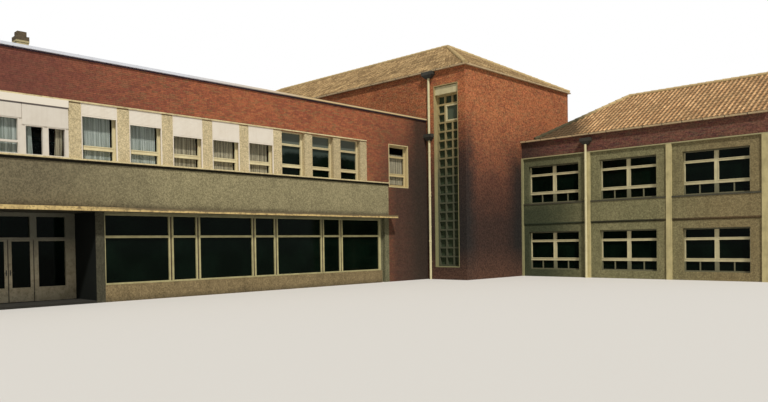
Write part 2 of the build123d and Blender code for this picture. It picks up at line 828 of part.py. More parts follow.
# Glass behind the front's frames, one sheet for each glazed run or window
with BuildPart() as front_glass:
    panels(left_face, sheets([((glazing_south, plinth_north), (plinth_top, canopy_bottom))]),
           glazing_setback + frame_depth, glass)
    panels(left_face, sheets([(window, upper) for window in front_windows + [south_window]] + [small_hole]),
           frame_setback + frame_depth, glass)
    panels(left_face, sheets([((bay_south, bay_north), upper)]), bay_panel_depth, glass)
    panels(door_plane, [(inset(hole[0], -glass_edge), inset(hole[1], -glass_edge), [])
                        for limits, up, (hole,) in side_lights], door_frame_depth, glass)
    panels(door_plane, sheets([((porch_south, porch_north), (door_head, canopy_bottom))]), door_frame_depth, glass)
    panels(right_face, sheets(right_holes), right_window_setback + frame_depth, glass)
    panels(block_face, sheets([(casement_x, casement_z)]), stair_setback + casement_depth, glass)
    panel(block_face, stair_x, (stair_bottom, stair_panel_bottom), [], stair_setback + grille_depth, glass)
save(front_glass.part, "front_glass")


# Hipped roofs: shells of one thickness, open below
def roof_body(x, y, eaves, ridge, hips, drop):
    """The solid under a roof's slopes, lowered by drop: a ridged length whose ends slope over the hips' runs."""
    middle = (y[0] + y[1]) / 2
    inward = drop / (ridge - eaves)
    low, high = y[0] + inward * (middle - y[0]), y[1] - inward * (y[1] - middle)
    top = ridge - drop
    ends = [x[0] + inward * hips[0], x[1] - inward * hips[1]]
    peaks = [x[0] + hips[0], x[1] - hips[1]]
    with BuildPart() as body:
        with BuildSketch(Plane(origin=(x[0], 0, 0), x_dir=(0, 1, 0), z_dir=(1, 0, 0))):
            with BuildLine():
                Polyline((low, eaves), (high, eaves), (middle, top), close=True)
            make_face()
        extrude(amount=x[1] - x[0])
        with BuildSketch(Plane(origin=(0, y[1], 0), x_dir=(1, 0, 0), z_dir=(0, -1, 0))):
            with BuildLine():
                Polyline((ends[0], eaves), (ends[1], eaves), (peaks[1], top), (peaks[0], top), close=True)
            make_face()
        extrude(amount=y[1] - y[0], mode=Mode.INTERSECT)
    return body.part


def roof_shell(x, y, eaves, ridge, hips):
    run = (y[1] - y[0]) / 2
    drop = roof_thickness * hypot(1, (ridge - eaves) / run)
    outside = roof_body(x, y, eaves, ridge, hips, 0)
    inside = roof_body(x, y, eaves, ridge, hips, drop)
    with BuildPart() as shell:
        add(outside)
        add(inside, mode=Mode.SUBTRACT)
    return shell.part


block_run = block_depth / 2 + eaves_overhang
block_roof = roof_shell((block_west - eaves_overhang, block_east + eaves_overhang),
                        (block_south - eaves_overhang, block_north + eaves_overhang),
                        block_eaves, block_ridge, (block_run, block_run))
save(block_roof, "block_roof")
right_roof = roof_shell((hip_foot, right_east + verge),
                        (right_front - eaves_overhang, right_north + eaves_overhang),
                        right_eaves, right_ridge, (hip_run, 0))
save(right_roof, "right_roof")


# Gutters and rainwater pipes
def gutter(face, along, top):
    """A square-sectioned channel that hangs on the wall face, under the drip of the tiles."""
    plane, inward = face
    floor = top - gutter_height
    panel(face, along, (floor, floor + gutter_wall), [], -gutter_width, gutter_width)
    panel(face, along, (floor, top), [], -gutter_width, gutter_wall)
    panel(face, along, (floor, top), [], -gutter_wall, gutter_wall)


with BuildPart() as eaves_gutters:
    gutter(block_face, (block_west - gutter_width, block_east + gutter_width), block_eaves)
    gutter(block_rear, (block_west - gutter_width, block_east + gutter_width), block_eaves)
    gutter(block_side, (block_south + gutter_joint, block_north - gutter_joint), block_eaves)
    gutter(block_end, (block_south + gutter_joint, block_north - gutter_joint), block_eaves)
    gutter(right_face, (block_east, right_east), right_eaves)
    gutter(right_rear, (block_east, right_east), right_eaves)
save(eaves_gutters.part, "eaves_gutters")


def hopper(x, wall_y, top, width):
    """A rainwater head that narrows to the pipe below it."""
    half, waist, throat = width / 2, top - hopper_height / 2, top - hopper_height
    with BuildPart(mode=Mode.PRIVATE) as head:
        with BuildSketch(Plane(origin=(x, wall_y, 0), x_dir=(1, 0, 0), z_dir=(0, -1, 0))):
            with BuildLine():
                Polyline((-half, top), (-half, waist), (-half * hopper_taper, throat),
                         (half * hopper_taper, throat), (half, waist), (half, top), close=True)
            make_face()
        extrude(amount=hopper_depth)
        with BuildSketch(Plane(origin=(x - half, wall_y, 0), x_dir=(0, -1, 0), z_dir=(-1, 0, 0))):
            with BuildLine():
                Polyline((0, top), (0, throat), (hopper_throat, throat), (hopper_depth, waist),
                         (hopper_depth, top), close=True)
            make_face()
        extrude(amount=-width, mode=Mode.INTERSECT)
    add(head.part)


def pipe(x, wall_y, low, high):
    """A round pipe on brackets that hold it off the wall."""
    centre = wall_y - pipe_radius - pipe_stand_off
    with Locations((x, centre, low)):
        Cylinder(pipe_radius, high - low, align=(Align.CENTER, Align.CENTER, Align.MIN))
    count = int((high - low) / bracket_pitch)
    for k in range(count):
        height = low + (k + 0.5) * (high - low) / count
        block((x - pipe_radius / 2, x + pipe_radius / 2), (centre, wall_y), (height, height + bracket_height))


pipe_x = left_front + pipe_from_corner
right_pipe_x = right_pilaster_limits[1][0] + right_pipe_offset
right_pipe_wall = right_front - pilaster_reach
with BuildPart() as rain_pipes:
    pipe(pipe_x, block_south, 0, low_hopper_top - hopper_height)
    pipe(pipe_x, block_south, low_hopper_top, block_eaves - gutter_height - hopper_height)
    pipe(right_pipe_x, right_pipe_wall, 0, right_hopper_top - hopper_height)
save(rain_pipes.part, "rain_pipes")

with BuildPart() as rain_hoppers:
    hopper(pipe_x, block_south, block_eaves - gutter_height, top_hopper_width)
    hopper(pipe_x, block_south, low_hopper_top, low_hopper_width)
    hopper(right_pipe_x, right_front, right_hopper_top, right_hopper_width)
save(rain_hoppers.part, "rain_hoppers")
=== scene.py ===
from math import cos, pi, radians, sin

import bpy
import numpy as np
from mathutils import Matrix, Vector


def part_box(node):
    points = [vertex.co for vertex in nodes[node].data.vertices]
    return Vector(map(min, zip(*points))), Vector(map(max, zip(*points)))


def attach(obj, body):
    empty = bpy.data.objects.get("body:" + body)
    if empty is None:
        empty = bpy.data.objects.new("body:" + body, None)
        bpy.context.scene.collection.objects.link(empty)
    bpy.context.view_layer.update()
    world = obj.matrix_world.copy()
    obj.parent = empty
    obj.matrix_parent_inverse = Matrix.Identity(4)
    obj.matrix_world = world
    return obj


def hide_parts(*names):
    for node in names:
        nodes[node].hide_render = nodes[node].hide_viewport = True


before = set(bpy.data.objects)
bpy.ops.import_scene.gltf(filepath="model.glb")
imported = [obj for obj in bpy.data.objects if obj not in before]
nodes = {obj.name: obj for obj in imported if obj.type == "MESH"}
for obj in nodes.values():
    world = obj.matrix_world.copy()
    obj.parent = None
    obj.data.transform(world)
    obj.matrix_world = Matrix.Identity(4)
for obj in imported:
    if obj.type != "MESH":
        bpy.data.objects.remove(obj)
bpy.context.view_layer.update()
scene = bpy.context.scene

# The building's own places in metres: read from the frame, or as the part's source has them
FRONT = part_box("left_render_band")[1].x
SILL_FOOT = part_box("left_render_band")[1].z
SILL_TOP, WINDOW_HEAD = (corner.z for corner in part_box("roller_shutters"))
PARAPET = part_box("left_front_brick")[1].z
CANOPY_FOOT, CANOPY_TOP = (corner.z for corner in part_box("canopy_slab"))
BAY_SOUTH, BAY_NORTH = (corner.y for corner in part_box("entrance_bay"))
ENTRANCE = (BAY_SOUTH + BAY_NORTH) / 2
BLOCK_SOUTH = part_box("block_south_wall")[0].y
BLOCK_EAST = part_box("block_end_walls")[1].x
RIGHT_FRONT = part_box("right_brick_band")[0].y
WINDOW_WIDTH, PILASTER, WINDOW_COUNT = 1.222, 0.415, 8
WINDOWS = [BAY_NORTH + PILASTER + k * (WINDOW_WIDTH + PILASTER) for k in range(WINDOW_COUNT)]
SOUTH_WINDOW = BAY_SOUTH - PILASTER - WINDOW_WIDTH
SHUTTER_DROPS = [0.430, 0.530, 0.740, 0.720, 0.680]
SHUTTERED = list(zip(WINDOWS, SHUTTER_DROPS)) + [(SOUTH_WINDOW, SHUTTER_DROPS[0])]
SMALL_WINDOW = (BLOCK_SOUTH - 2.81, BLOCK_SOUTH - 1.42)
SMALL_WINDOW_HEIGHTS = (SILL_TOP - 0.205, WINDOW_HEAD + 0.03)
UPPER_BAR_TOP = WINDOW_HEAD - 0.51
BAY_FASCIA_FOOT = WINDOW_HEAD - 0.230
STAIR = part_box("stair_grille")
CASEMENT_WEST, CASEMENT_HEIGHTS = 5.398, (7.854, 8.665)
LEAF_EDGES = [ENTRANCE + way for way in (-1.6575, -0.865, -0.0725, 0.0725, 0.865, 1.6575)]
LEAF_TOP = 2.10
RIGHT_SILLS = (0.37, 3.81)
RIGHT_STRIP = 6.0


# Camera: the photograph's standpoint and lens
EYE = (27.08, -21.38, 1.85)
YAW, PITCH, ROLL = radians(43.72), radians(-1.08), radians(-0.8)
PHOTO_WIDTH, PHOTO_HEIGHT = 768, 402
FOCAL_PIXELS = 695.2
HORIZON_ROW = 256.2
SENSOR = 36.0


def add_camera():
    """Turns the level forward, right and up directions by pitch and then by roll."""
    forward = np.array([-sin(YAW), cos(YAW), 0.0])
    right = np.array([cos(YAW), sin(YAW), 0.0])
    up = np.array([0.0, 0.0, 1.0])
    ahead = forward * cos(PITCH) + up * sin(PITCH)
    above = up * cos(PITCH) - forward * sin(PITCH)
    across = right * cos(ROLL) + above * sin(ROLL)
    above = above * cos(ROLL) - right * sin(ROLL)
    data = bpy.data.cameras.new("photo_camera")
    data.sensor_width = SENSOR
    data.lens = FOCAL_PIXELS * SENSOR / PHOTO_WIDTH
    data.shift_y = (HORIZON_ROW - PHOTO_HEIGHT / 2) / PHOTO_WIDTH
    data.clip_end = 500
    camera = bpy.data.objects.new("photo_camera", data)
    turn = np.identity(4)
    turn[:3, 0], turn[:3, 1], turn[:3, 2] = across, above, -ahead
    turn[:3, 3] = EYE
    camera.matrix_world = Matrix(turn.tolist())
    scene.collection.objects.link(camera)
    scene.camera = camera


add_camera()


# Light: a soft sun high behind the camera, a little to its right, and a pale sky
SUN_STRENGTH, SUN_COLOUR = 3.5, (1.0, 0.97, 0.93)
SUN_ANGLE = radians(4)
SUN_FROM = (0.72, -0.45, 1.1)
SKY_STRENGTH, SKY_COLOUR = 0.30, (0.93, 0.97, 1.0, 1)


def add_sun():
    """Aims the lamp: its own Z looks back at where the light comes from, and its X stays level."""
    sun = bpy.data.lights.new("sun", "SUN")
    sun.energy = SUN_STRENGTH
    sun.angle = SUN_ANGLE
    sun.color = SUN_COLOUR
    lamp = bpy.data.objects.new("sun", sun)
    z = np.array(SUN_FROM) / np.linalg.norm(SUN_FROM)
    x = np.cross((0, 0, 1), z)
    x /= np.linalg.norm(x)
    turn = np.identity(4)
    turn[:3, 0], turn[:3, 1], turn[:3, 2] = x, np.cross(z, x), z
    lamp.matrix_world = Matrix(turn.tolist())
    scene.collection.objects.link(lamp)


def add_sky():
    """Lights the building with a pale sky that camera, glossy and transmission rays see as plain white."""
    world = bpy.data.worlds.new("sky")
    world.use_nodes = True
    tree = world.node_tree
    background = tree.nodes["Background"]
    background.inputs["Color"].default_value = SKY_COLOUR
    background.inputs["Strength"].default_value = SKY_STRENGTH
    white = tree.nodes.new("ShaderNodeBackground")
    white.inputs["Color"].default_value = (1, 1, 1, 1)
    white.inputs["Strength"].default_value = 1
    path = tree.nodes.new("ShaderNodeLightPath")
    direct = tree.nodes.new("ShaderNodeMath")
    direct.operation = "MAXIMUM"
    seen = tree.nodes.new("ShaderNodeMath")
    seen.operation = "MAXIMUM"
    mix = tree.nodes.new("ShaderNodeMixShader")
    tree.links.new(path.outputs["Is Camera Ray"], direct.inputs[0])
    tree.links.new(path.outputs["Is Glossy Ray"], direct.inputs[1])
    tree.links.new(direct.outputs[0], seen.inputs[0])
    tree.links.new(path.outputs["Is Transmission Ray"], seen.inputs[1])
    tree.links.new(seen.outputs[0], mix.inputs[0])
    tree.links.new(background.outputs[0], mix.inputs[1])
    tree.links.new(white.outputs[0], mix.inputs[2])
    tree.links.new(mix.outputs[0], tree.nodes["World Output"].inputs["Surface"])
    scene.world = world


add_sun()
add_sky()
scene.view_settings.view_transform = "Standard"


# Shader graphs
class Graph:
    """A material's node tree with short ways to add nodes and join them."""

    def __init__(self, name):
        self.material = bpy.data.materials.new(name)
        self.material.use_nodes = True
        self.tree = self.material.node_tree
        self.shader = self.tree.nodes["Principled BSDF"]
        self.place = self.node("ShaderNodeTexCoord").outputs["Object"]

    def node(self, kind, **settings):
        made = self.tree.nodes.new(kind)
        for name, value in settings.items():
            setattr(made, name, value)
        return made

    def feed(self, socket, value):
        """Joins a socket to the one given, or sets it to the value given."""
        if isinstance(value, bpy.types.NodeSocket):
            self.tree.links.new(value, socket)
        else:
            socket.default_value = value

    def math(self, operation, first, second=0.0):
        made = self.node("ShaderNodeMath", operation=operation)
        self.feed(made.inputs[0], first)
        self.feed(made.inputs[1], second)
        return made.outputs[0]

    def mix(self, factor, first, second, blend="MIX"):
        made = self.node("ShaderNodeMix", data_type="RGBA", blend_type=blend)
        self.feed(made.inputs[0], factor)
        self.feed(made.inputs[6], first)
        self.feed(made.inputs[7], second)
        return made.outputs[2]

    def ramp(self, value, low, high, start=0.0, end=1.0):
        """Maps low to high onto start to end, held at both ends."""
        made = self.node("ShaderNodeMapRange", clamp=True)
        for number, entry in enumerate((value, low, high, start, end)):
            self.feed(made.inputs[number], entry)
        return made.outputs[0]

    def scaled(self, factors):
        made = self.node("ShaderNodeMapping")
        self.feed(made.inputs["Vector"], self.place)
        made.inputs["Scale"].default_value = factors
        return made.outputs[0]

    def noise(self, scale, detail=2.0, rough=0.5, factors=None):
        """Noise from 0 to 1, stretched where factors differ from one axis to another."""
        made = self.node("ShaderNodeTexNoise")
        self.feed(made.inputs["Vector"], self.scaled(factors) if factors else self.place)
        made.inputs["Scale"].default_value = scale
        made.inputs["Detail"].default_value = detail
        made.inputs["Roughness"].default_value = rough
        return made.outputs["Fac"]

    def steps(self, value, colours):
        """Maps 0 to 1 onto the colours in their order, blended from each to the next."""
        made = self.node("ShaderNodeValToRGB")
        stops = made.color_ramp.elements
        while len(stops) < len(colours):
            stops.new(0.5)
        for number, colour in enumerate(colours):
            stops[number].position = number / (len(colours) - 1)
            stops[number].color = colour
        self.feed(made.inputs[0], value)
        return made.outputs[0]

    def facing(self):
        """The three parts of the direction that a face looks in."""
        made = self.node("ShaderNodeSeparateXYZ")
        self.feed(made.inputs[0], self.node("ShaderNodeNewGeometry").outputs["Normal"])
        return made.outputs

    def axes(self):
        """The place's own X, Y and Z in metres."""
        made = self.node("ShaderNodeSeparateXYZ")
        self.feed(made.inputs[0], self.place)
        return made.outputs

    def along_wall(self):
        """The distance along an upright wall: Y on faces that look along X, and X on the others."""
        side = self.math("GREATER_THAN", self.math("ABSOLUTE", self.facing()["X"]), 0.7)
        x, y, _ = self.axes()
        first = self.math("MULTIPLY", y, side)
        second = self.math("MULTIPLY", x, self.math("SUBTRACT", 1.0, side))
        return self.math("ADD", first, second)

    def bump(self, height, distance, strength=1.0):
        made = self.node("ShaderNodeBump")
        made.inputs["Strength"].default_value = strength
        made.inputs["Distance"].default_value = distance
        self.feed(made.inputs["Height"], height)
        self.feed(self.shader.inputs["Normal"], made.outputs[0])

    def finish(self, colour, roughness, specular):
        self.feed(self.shader.inputs["Base Color"], colour)
        self.feed(self.shader.inputs["Roughness"], roughness)
        self.shader.inputs["Specular IOR Level"].default_value = specular
        return self.material


def rgb(red, green, blue):
    """A display colour from 0 to 255 as the linear colour that a shader takes."""
    parts = np.array([red, green, blue]) / 255
    linear = np.where(parts <= 0.04045, parts / 12.92, ((parts + 0.055) / 1.055) ** 2.4)
    return (*linear.tolist(), 1.0)


def shaded(colour, factor):
    """The colour made darker or lighter by a factor."""
    return (*(part * factor for part in colour[:3]), 1.0)


BRICK_LENGTH, BRICK_COURSE, BRICK_JOINT = 0.22, 0.062, 0.010
X, Y, Z, UNDER = 0, 1, 2, 3


def between(axis, low, high, edge=0.01, uneven=0.0):
    """The two fades that keep a zone between two places on an axis."""
    return [(axis, low - edge, low, uneven), (axis, high + edge, high, uneven)]


def dirt_and_shade(g, shade, zones):
    """Lays one colour after another over a shade, such as dirt or the shadow in a joint.

    A zone is its colour, its strength and its fades. Some zones are dirt, and some are painted shade, such as
    the shadow under a sill or in a corner. A fade is an axis, the place where the zone is bare, the place
    where it is full, and how far noise shifts both. The zone's share is its strength times each fade's ramp,
    and a fade that says UNDER is 1 on faces that look down and 0 on the rest.
    """
    for colour, strength, fades in zones:
        amount = strength
        for axis, bare_at, full_at, uneven in fades:
            if axis == UNDER:
                share = g.math("LESS_THAN", g.facing()["Z"], -0.5)
            else:
                shift = g.math("MULTIPLY", g.math("SUBTRACT", g.noise(1.7, 6.0, 0.75), 0.5), uneven)
                share = g.ramp(g.math("ADD", g.axes()[axis], shift), bare_at, full_at)
            amount = g.math("MULTIPLY", share, amount)
        shade = g.mix(amount, shade, colour)
    return shade


def speckled(g, shade, scale, amount):
    """Multiplies a colour by fine noise, as much darker as lighter."""
    tone = g.ramp(g.noise(scale, 3.0, 0.9), 0.44, 0.56, 1 - amount, 1 + amount)
    return g.mix(1.0, shade, tone, "MULTIPLY")


def brickwork(name, tones, joint, zones, blotch=0.5, speckle=0.3):
    """Running bond: chance and slow noise pick each brick's place between four tones. Small blotches darken
    the wall, broad ones lighten it, dirt and painted shade lie in the zones, and specks come last."""
    g = Graph(name)
    place = g.node("ShaderNodeCombineXYZ")
    g.feed(place.inputs[0], g.along_wall())
    g.feed(place.inputs[1], g.axes()[Z])
    bricks = g.node("ShaderNodeTexBrick", offset=0.5, squash=1.0)
    g.feed(bricks.inputs["Vector"], place.outputs[0])
    bricks.inputs["Scale"].default_value = 1.0
    bricks.inputs["Brick Width"].default_value = BRICK_LENGTH
    bricks.inputs["Row Height"].default_value = BRICK_COURSE
    bricks.inputs["Mortar Size"].default_value = BRICK_JOINT / 2
    bricks.inputs["Mortar Smooth"].default_value = 0.2
    bricks.inputs["Color1"].default_value = (0, 0, 0, 1)
    bricks.inputs["Color2"].default_value = (1, 1, 1, 1)
    chance = g.node("ShaderNodeSeparateColor")
    g.feed(chance.inputs[0], bricks.outputs["Color"])
    drift = g.math("MULTIPLY", g.math("SUBTRACT", g.noise(2.4, 4.0, 0.7), 0.5), 0.5)
    shade = g.steps(g.math("ADD", chance.outputs[0], drift), tones)
    shade = g.mix(bricks.outputs["Fac"], shade, joint)
    small = g.ramp(g.noise(3.1, 5.0, 0.7, (1.0, 1.0, 1.6)), 0.42, 0.62)
    shade = g.mix(g.math("MULTIPLY", small, blotch * 0.6), shade, shaded(tones[3], 0.55))
    broad = g.ramp(g.noise(0.6, 3.0, 0.6), 0.42, 0.62)
    shade = g.mix(g.math("MULTIPLY", broad, blotch * 0.5), shade, shaded(tones[2], 1.15))
    shade = speckled(g, dirt_and_shade(g, shade, zones), 11.0, speckle)
    height = g.math("SUBTRACT", 1.0, bricks.outputs["Fac"])
    height = g.math("ADD", height, g.math("MULTIPLY", g.noise(60, 3.0), 0.4))
    g.bump(height, 0.008)
    return g.finish(shade, 0.88, 0.2)


STONES_PER_METRE = 38


def pebbledash(name, base, stone_light, stone_dark, zones=(), streaks=0.35, grit=0.25):
    """Small stones thrown on render: a cell and a tone for each stone, pale blotches, rain streaks, dirt and
    painted shade in the zones, and grit last."""
    g = Graph(name)
    cells = g.node("ShaderNodeTexVoronoi")
    g.feed(cells.inputs["Vector"], g.place)
    cells.inputs["Scale"].default_value = STONES_PER_METRE
    tone = g.node("ShaderNodeSeparateColor")
    g.feed(tone.inputs[0], cells.outputs["Color"])
    shade = g.mix(g.ramp(tone.outputs[0], 0.15, 0.85), stone_dark, stone_light)
    shade = g.mix(g.ramp(cells.outputs["Distance"], 0.3, 0.7), shade, base)
    blotches = g.ramp(g.noise(1.3, 5.0, 0.7), 0.40, 0.66)
    shade = g.mix(g.math("MULTIPLY", blotches, 0.35), shade, shaded(stone_light, 1.08))
    runs = g.ramp(g.noise(1.0, 4.0, 0.6, (5.0, 5.0, 0.3)), 0.48, 0.75)
    shade = g.mix(g.math("MULTIPLY", runs, streaks), shade, shaded(base, 0.5))
    shade = speckled(g, dirt_and_shade(g, shade, zones), 17.0, grit)
    g.bump(g.math("SUBTRACT", 1.0, cells.outputs["Distance"]), 0.008)
    return g.finish(shade, 0.94, 0.15)


def painted(name, colour, dirt, amount=0.35, roughness=0.5, specks=0.0, zones=()):
    """Old gloss paint: brush marks, dirt in broad patches and thin runs, flaked specks, and the zones."""
    g = Graph(name)
    patches = g.ramp(g.noise(2.5, 5.0, 0.65), 0.4, 0.75)
    runs = g.ramp(g.noise(1.0, 4.0, 0.6, (9.0, 9.0, 0.8)), 0.5, 0.8)
    shade = g.mix(g.math("MULTIPLY", patches, amount), colour, dirt)
    shade = g.mix(g.math("MULTIPLY", runs, amount * 0.8), shade, dirt)
    if specks:
        flakes = g.ramp(g.noise(7.0, 6.0, 0.8), 0.5, 0.60)
        shade = g.mix(g.math("MULTIPLY", flakes, specks), shade, shaded(dirt, 0.5))
    shade = dirt_and_shade(g, shade, zones)
    g.bump(g.noise(40, 3.0, 0.6, (1.0, 1.0, 0.15)), 0.0015, 0.6)
    return g.finish(shade, g.ramp(patches, 0.0, 1.0, roughness, min(roughness + 0.25, 1.0)), 0.35)


def window_glass(name, tint, alpha, zones=()):
    """Old drawn glass: dark, faintly wavy, with part of the light let through, hazy in the zones."""
    g = Graph(name)
    g.bump(g.noise(1.6, 2.0), 0.004, 0.25)
    g.shader.inputs["Alpha"].default_value = alpha
    g.material.blend_method = "BLEND"
    shade = g.mix(g.ramp(g.noise(0.9, 3.0), 0.4, 0.7), tint, shaded(tint, 2.2))
    shade = dirt_and_shade(g, shade, zones)
    return g.finish(shade, 0.06, 0.035)


def concrete(name, colour, dirt, scale=1.2, zones=()):
    """Cast concrete or fired clay: clouds, the smaller the higher the scale, fine pores, a rough face, and
    the zones."""
    g = Graph(name)
    patches = g.ramp(g.noise(scale, 6.0, 0.7), 0.3, 0.75)
    pores = g.ramp(g.noise(22, 4.0, 0.8), 0.45, 0.62)
    shade = g.mix(g.math("MULTIPLY", patches, 0.5), colour, dirt)
    shade = g.mix(g.math("MULTIPLY", pores, 0.35), shade, shaded(dirt, 0.7))
    shade = dirt_and_shade(g, shade, zones)
    g.bump(g.noise(35, 6.0, 0.7), 0.004)
    return g.finish(shade, 0.9, 0.2)


def clay_tiles(name, light, dark, moss, moss_at=None):
    """Clay tiles: a tone for each tile, lichen and painted shade in the pans, a painted shade line along each
    lip, and moss round one corner where a place for it is given."""
    g = Graph(name)
    cell = g.node("ShaderNodeUVMap", uv_map="tiles")
    parts = g.node("ShaderNodeSeparateXYZ")
    g.feed(parts.inputs[0], cell.outputs[0])
    tile = g.node("ShaderNodeCombineXYZ")
    g.feed(tile.inputs[0], g.math("FLOOR", parts.outputs[0]))
    g.feed(tile.inputs[1], g.math("FLOOR", parts.outputs[1]))
    chance = g.node("ShaderNodeTexWhiteNoise", noise_dimensions="2D")
    g.feed(chance.inputs["Vector"], tile.outputs[0])
    shade = g.mix(chance.outputs["Value"], light, dark)
    share = g.math("FRACT", parts.outputs[0])
    # The pans darker: lichen, with painted shade in the hollow
    pan = g.math("MULTIPLY", g.ramp(share, 0.40, 0.50), g.ramp(share, 0.98, 0.90))
    shade = g.mix(g.math("MULTIPLY", pan, 0.8), shade, shaded(moss, 0.45))
    # The foot of each course darker: painted shade at the lip
    lip = g.ramp(g.math("FRACT", parts.outputs[1]), 0.0, 0.10, 1.0, 0.0)
    shade = g.mix(g.math("MULTIPLY", lip, 0.2), shade, shaded(dark, 0.4))
    clouds = g.ramp(g.noise(0.9, 6.0, 0.75), 0.42, 0.62)
    shade = g.mix(g.math("MULTIPLY", clouds, 0.5), shade, moss)
    shade = speckled(g, shade, 8.0, 0.22)
    if moss_at:
        gap = g.node("ShaderNodeVectorMath", operation="DISTANCE")
        g.feed(gap.inputs[0], g.place)
        gap.inputs[1].default_value = moss_at
        near = g.math("ADD", gap.outputs["Value"], g.math("MULTIPLY", g.noise(2.5, 5.0, 0.7), 1.4))
        shade = g.mix(g.ramp(near, 2.6, 3.6, 0.92, 0.0), shade, shaded(moss, 0.28))
    g.bump(g.noise(30, 4.0), 0.004)
    return g.finish(shade, 0.9, 0.2)


def net_cloth(name, colour, fold):
    """Thin net: a fine weave with darker upright bands of painted shade, as folds have."""
    g = Graph(name)
    weave = g.noise(1.0, 3.0, 0.6, (20.0, 90.0, 90.0))
    bands = g.ramp(g.noise(1.0, 3.0, 0.6, (1.0, 14.0, 0.35)), 0.42, 0.60)
    # The fold colour in upright bands is painted shade of the net's folds
    shade = g.mix(g.math("MULTIPLY", bands, 0.85), colour, fold)
    shade = g.mix(g.math("MULTIPLY", weave, 0.25), shade, shaded(colour, 1.1))
    g.bump(weave, 0.001)
    return g.finish(shade, 0.95, 0.05)


# Finishes of the left wing
LEFT_BRICK = brickwork(
    "left_brick", [rgb(140, 76, 55), rgb(157, 86, 58), rgb(171, 100, 65), rgb(142, 100, 66)],
    rgb(124, 92, 70), [
        (rgb(98, 58, 52), 0.8, [(Y, -6.5, -13.5, 2.0)]),
        # Darker towards the corner with the block: painted shade in the corner, with soot near the rain pipe
        (rgb(62, 48, 40), 0.9, [(Y, 0.8, 3.4, 1.2), (Z, 8.4, 5.4, 1.5), (X, 0.0, 2.0, 0.0)]),
        (rgb(50, 42, 34), 0.85, [(Y, BLOCK_SOUTH - 1.9, BLOCK_SOUTH - 0.7, 0.8), (X, 0.0, 2.0, 0.0)]),
        # A dark line under the coping: painted shadow of its lip
        (rgb(56, 46, 60), 0.9, [(Z, PARAPET - 0.065, PARAPET - 0.05, 0.02)]),
    ], 0.45, 0.16)
BAND_DASH = pebbledash("band_pebbledash", rgb(138, 130, 98), rgb(162, 152, 116), rgb(106, 98, 72), [
    (rgb(92, 84, 68), 0.7, [(Y, -8.0, -13.0, 2.0)]),
    # A near-black line under the sill course: painted shadow of the sill, with dirt
    (rgb(16, 16, 14), 0.93, [(Z, SILL_FOOT - 0.100, SILL_FOOT - 0.080, 0.02)]),
    (rgb(66, 56, 44), 0.7, [(Z, CANOPY_TOP + 0.20, CANOPY_TOP, 0.25)]),
], 0.2)
PLINTH_DASH = pebbledash("plinth_pebbledash", rgb(124, 108, 76), rgb(146, 128, 94), rgb(86, 74, 52),
                         [(rgb(60, 54, 40), 0.6, [(Z, 0.22, 0.0, 0.2)])])
# Porch walls: dark stone tones and near-black inner faces, painted shade of the porch and of the plants
# before it
PORCH_DASH = pebbledash("porch_pebbledash", rgb(68, 66, 52), rgb(84, 80, 64), rgb(48, 46, 36),
                        [(rgb(12, 16, 13), 0.97, [(X, FRONT - 0.01, FRONT - 0.02, 0.0)])])
PILASTER_DASH = pebbledash("pilaster_pebbledash", rgb(194, 177, 138), rgb(208, 192, 154), rgb(160, 144, 108),
                           [(rgb(166, 150, 114), 0.7, [(Y, -3.5, -1.0, 0.5)])], 0.12, grit=0.2)
PIER_DASH = pebbledash("pier_pebbledash", rgb(104, 102, 76), rgb(124, 120, 92), rgb(78, 76, 56))
# Ground-floor glazing: darker towards the top, painted shade under the canopy
GLAZING_PAINT = painted("glazing_paint", rgb(178, 170, 124), rgb(116, 104, 70), 0.5,
                        zones=[(rgb(94, 92, 66), 0.6, [(Z, 2.40, 2.85, 0.2)])])
CREAM_PAINT = painted("cream_paint", rgb(216, 204, 162), rgb(160, 142, 104), zones=[
    (rgb(176, 158, 116), 0.5, [(Y, -3.5, -1.0, 0.5), (X, FRONT - 0.04, FRONT - 0.06, 0.0)]),
    (rgb(186, 166, 116), 0.6, [(Y, BLOCK_SOUTH - 3.2, BLOCK_SOUTH - 3.0, 0.0)]),
])
BELOW_HEAD = [(Z, LEAF_TOP + 0.02, LEAF_TOP, 0.0)]
# Dark lines along the leaves' edges below their head: painted shade in the gaps between leaves and frame
LEAF_GAP_SHADE = [(rgb(36, 30, 22), 0.9, between(Y, edge - 0.012, edge + 0.012, 0.008) + BELOW_HEAD)
             for edge in LEAF_EDGES]
# Doors and frames darker towards the head: painted shade under the canopy, with grime
PORCH_PAINT = painted("porch_paint", rgb(206, 192, 158), rgb(150, 130, 98), 0.5, specks=0.4,
                      zones=[(rgb(72, 74, 64), 0.9, [(Z, 0.8, 2.3, 0.4)])] + LEAF_GAP_SHADE)
ON_RIGHT_WING = (X, BLOCK_EAST, BLOCK_EAST + 0.01, 0.0)
COURSE_PAINT = painted("course_paint", rgb(212, 196, 150), rgb(132, 112, 78), 0.4, specks=0.4, zones=[
    # The right wing's sills near-black: dark concrete, darkened further with painted shade
    (rgb(44, 44, 34), 0.95, [ON_RIGHT_WING, (Z, RIGHT_STRIP, RIGHT_STRIP - 0.1, 0.0)]),
    (rgb(150, 144, 104), 0.9, [ON_RIGHT_WING, (Z, RIGHT_STRIP, RIGHT_STRIP + 0.1, 0.0)]),
])
CANOPY_PAINT = painted("canopy_paint", rgb(206, 180, 120), rgb(120, 96, 64), 0.5, specks=0.7, zones=[
    (rgb(84, 74, 54), 0.9, [(Z, CANOPY_FOOT + 0.055, CANOPY_FOOT + 0.075, 0.12), (Y, -12.0, -10.0, 1.0)]),
    # The canopy's soffit: near-black painted shade on faces that look down
    (rgb(26, 28, 24), 0.95, [(UNDER, 0, 0, 0)]),
])
WHITE_PANEL = painted("white_panel", rgb(222, 213, 197), rgb(202, 188, 166), 0.35, 0.4)
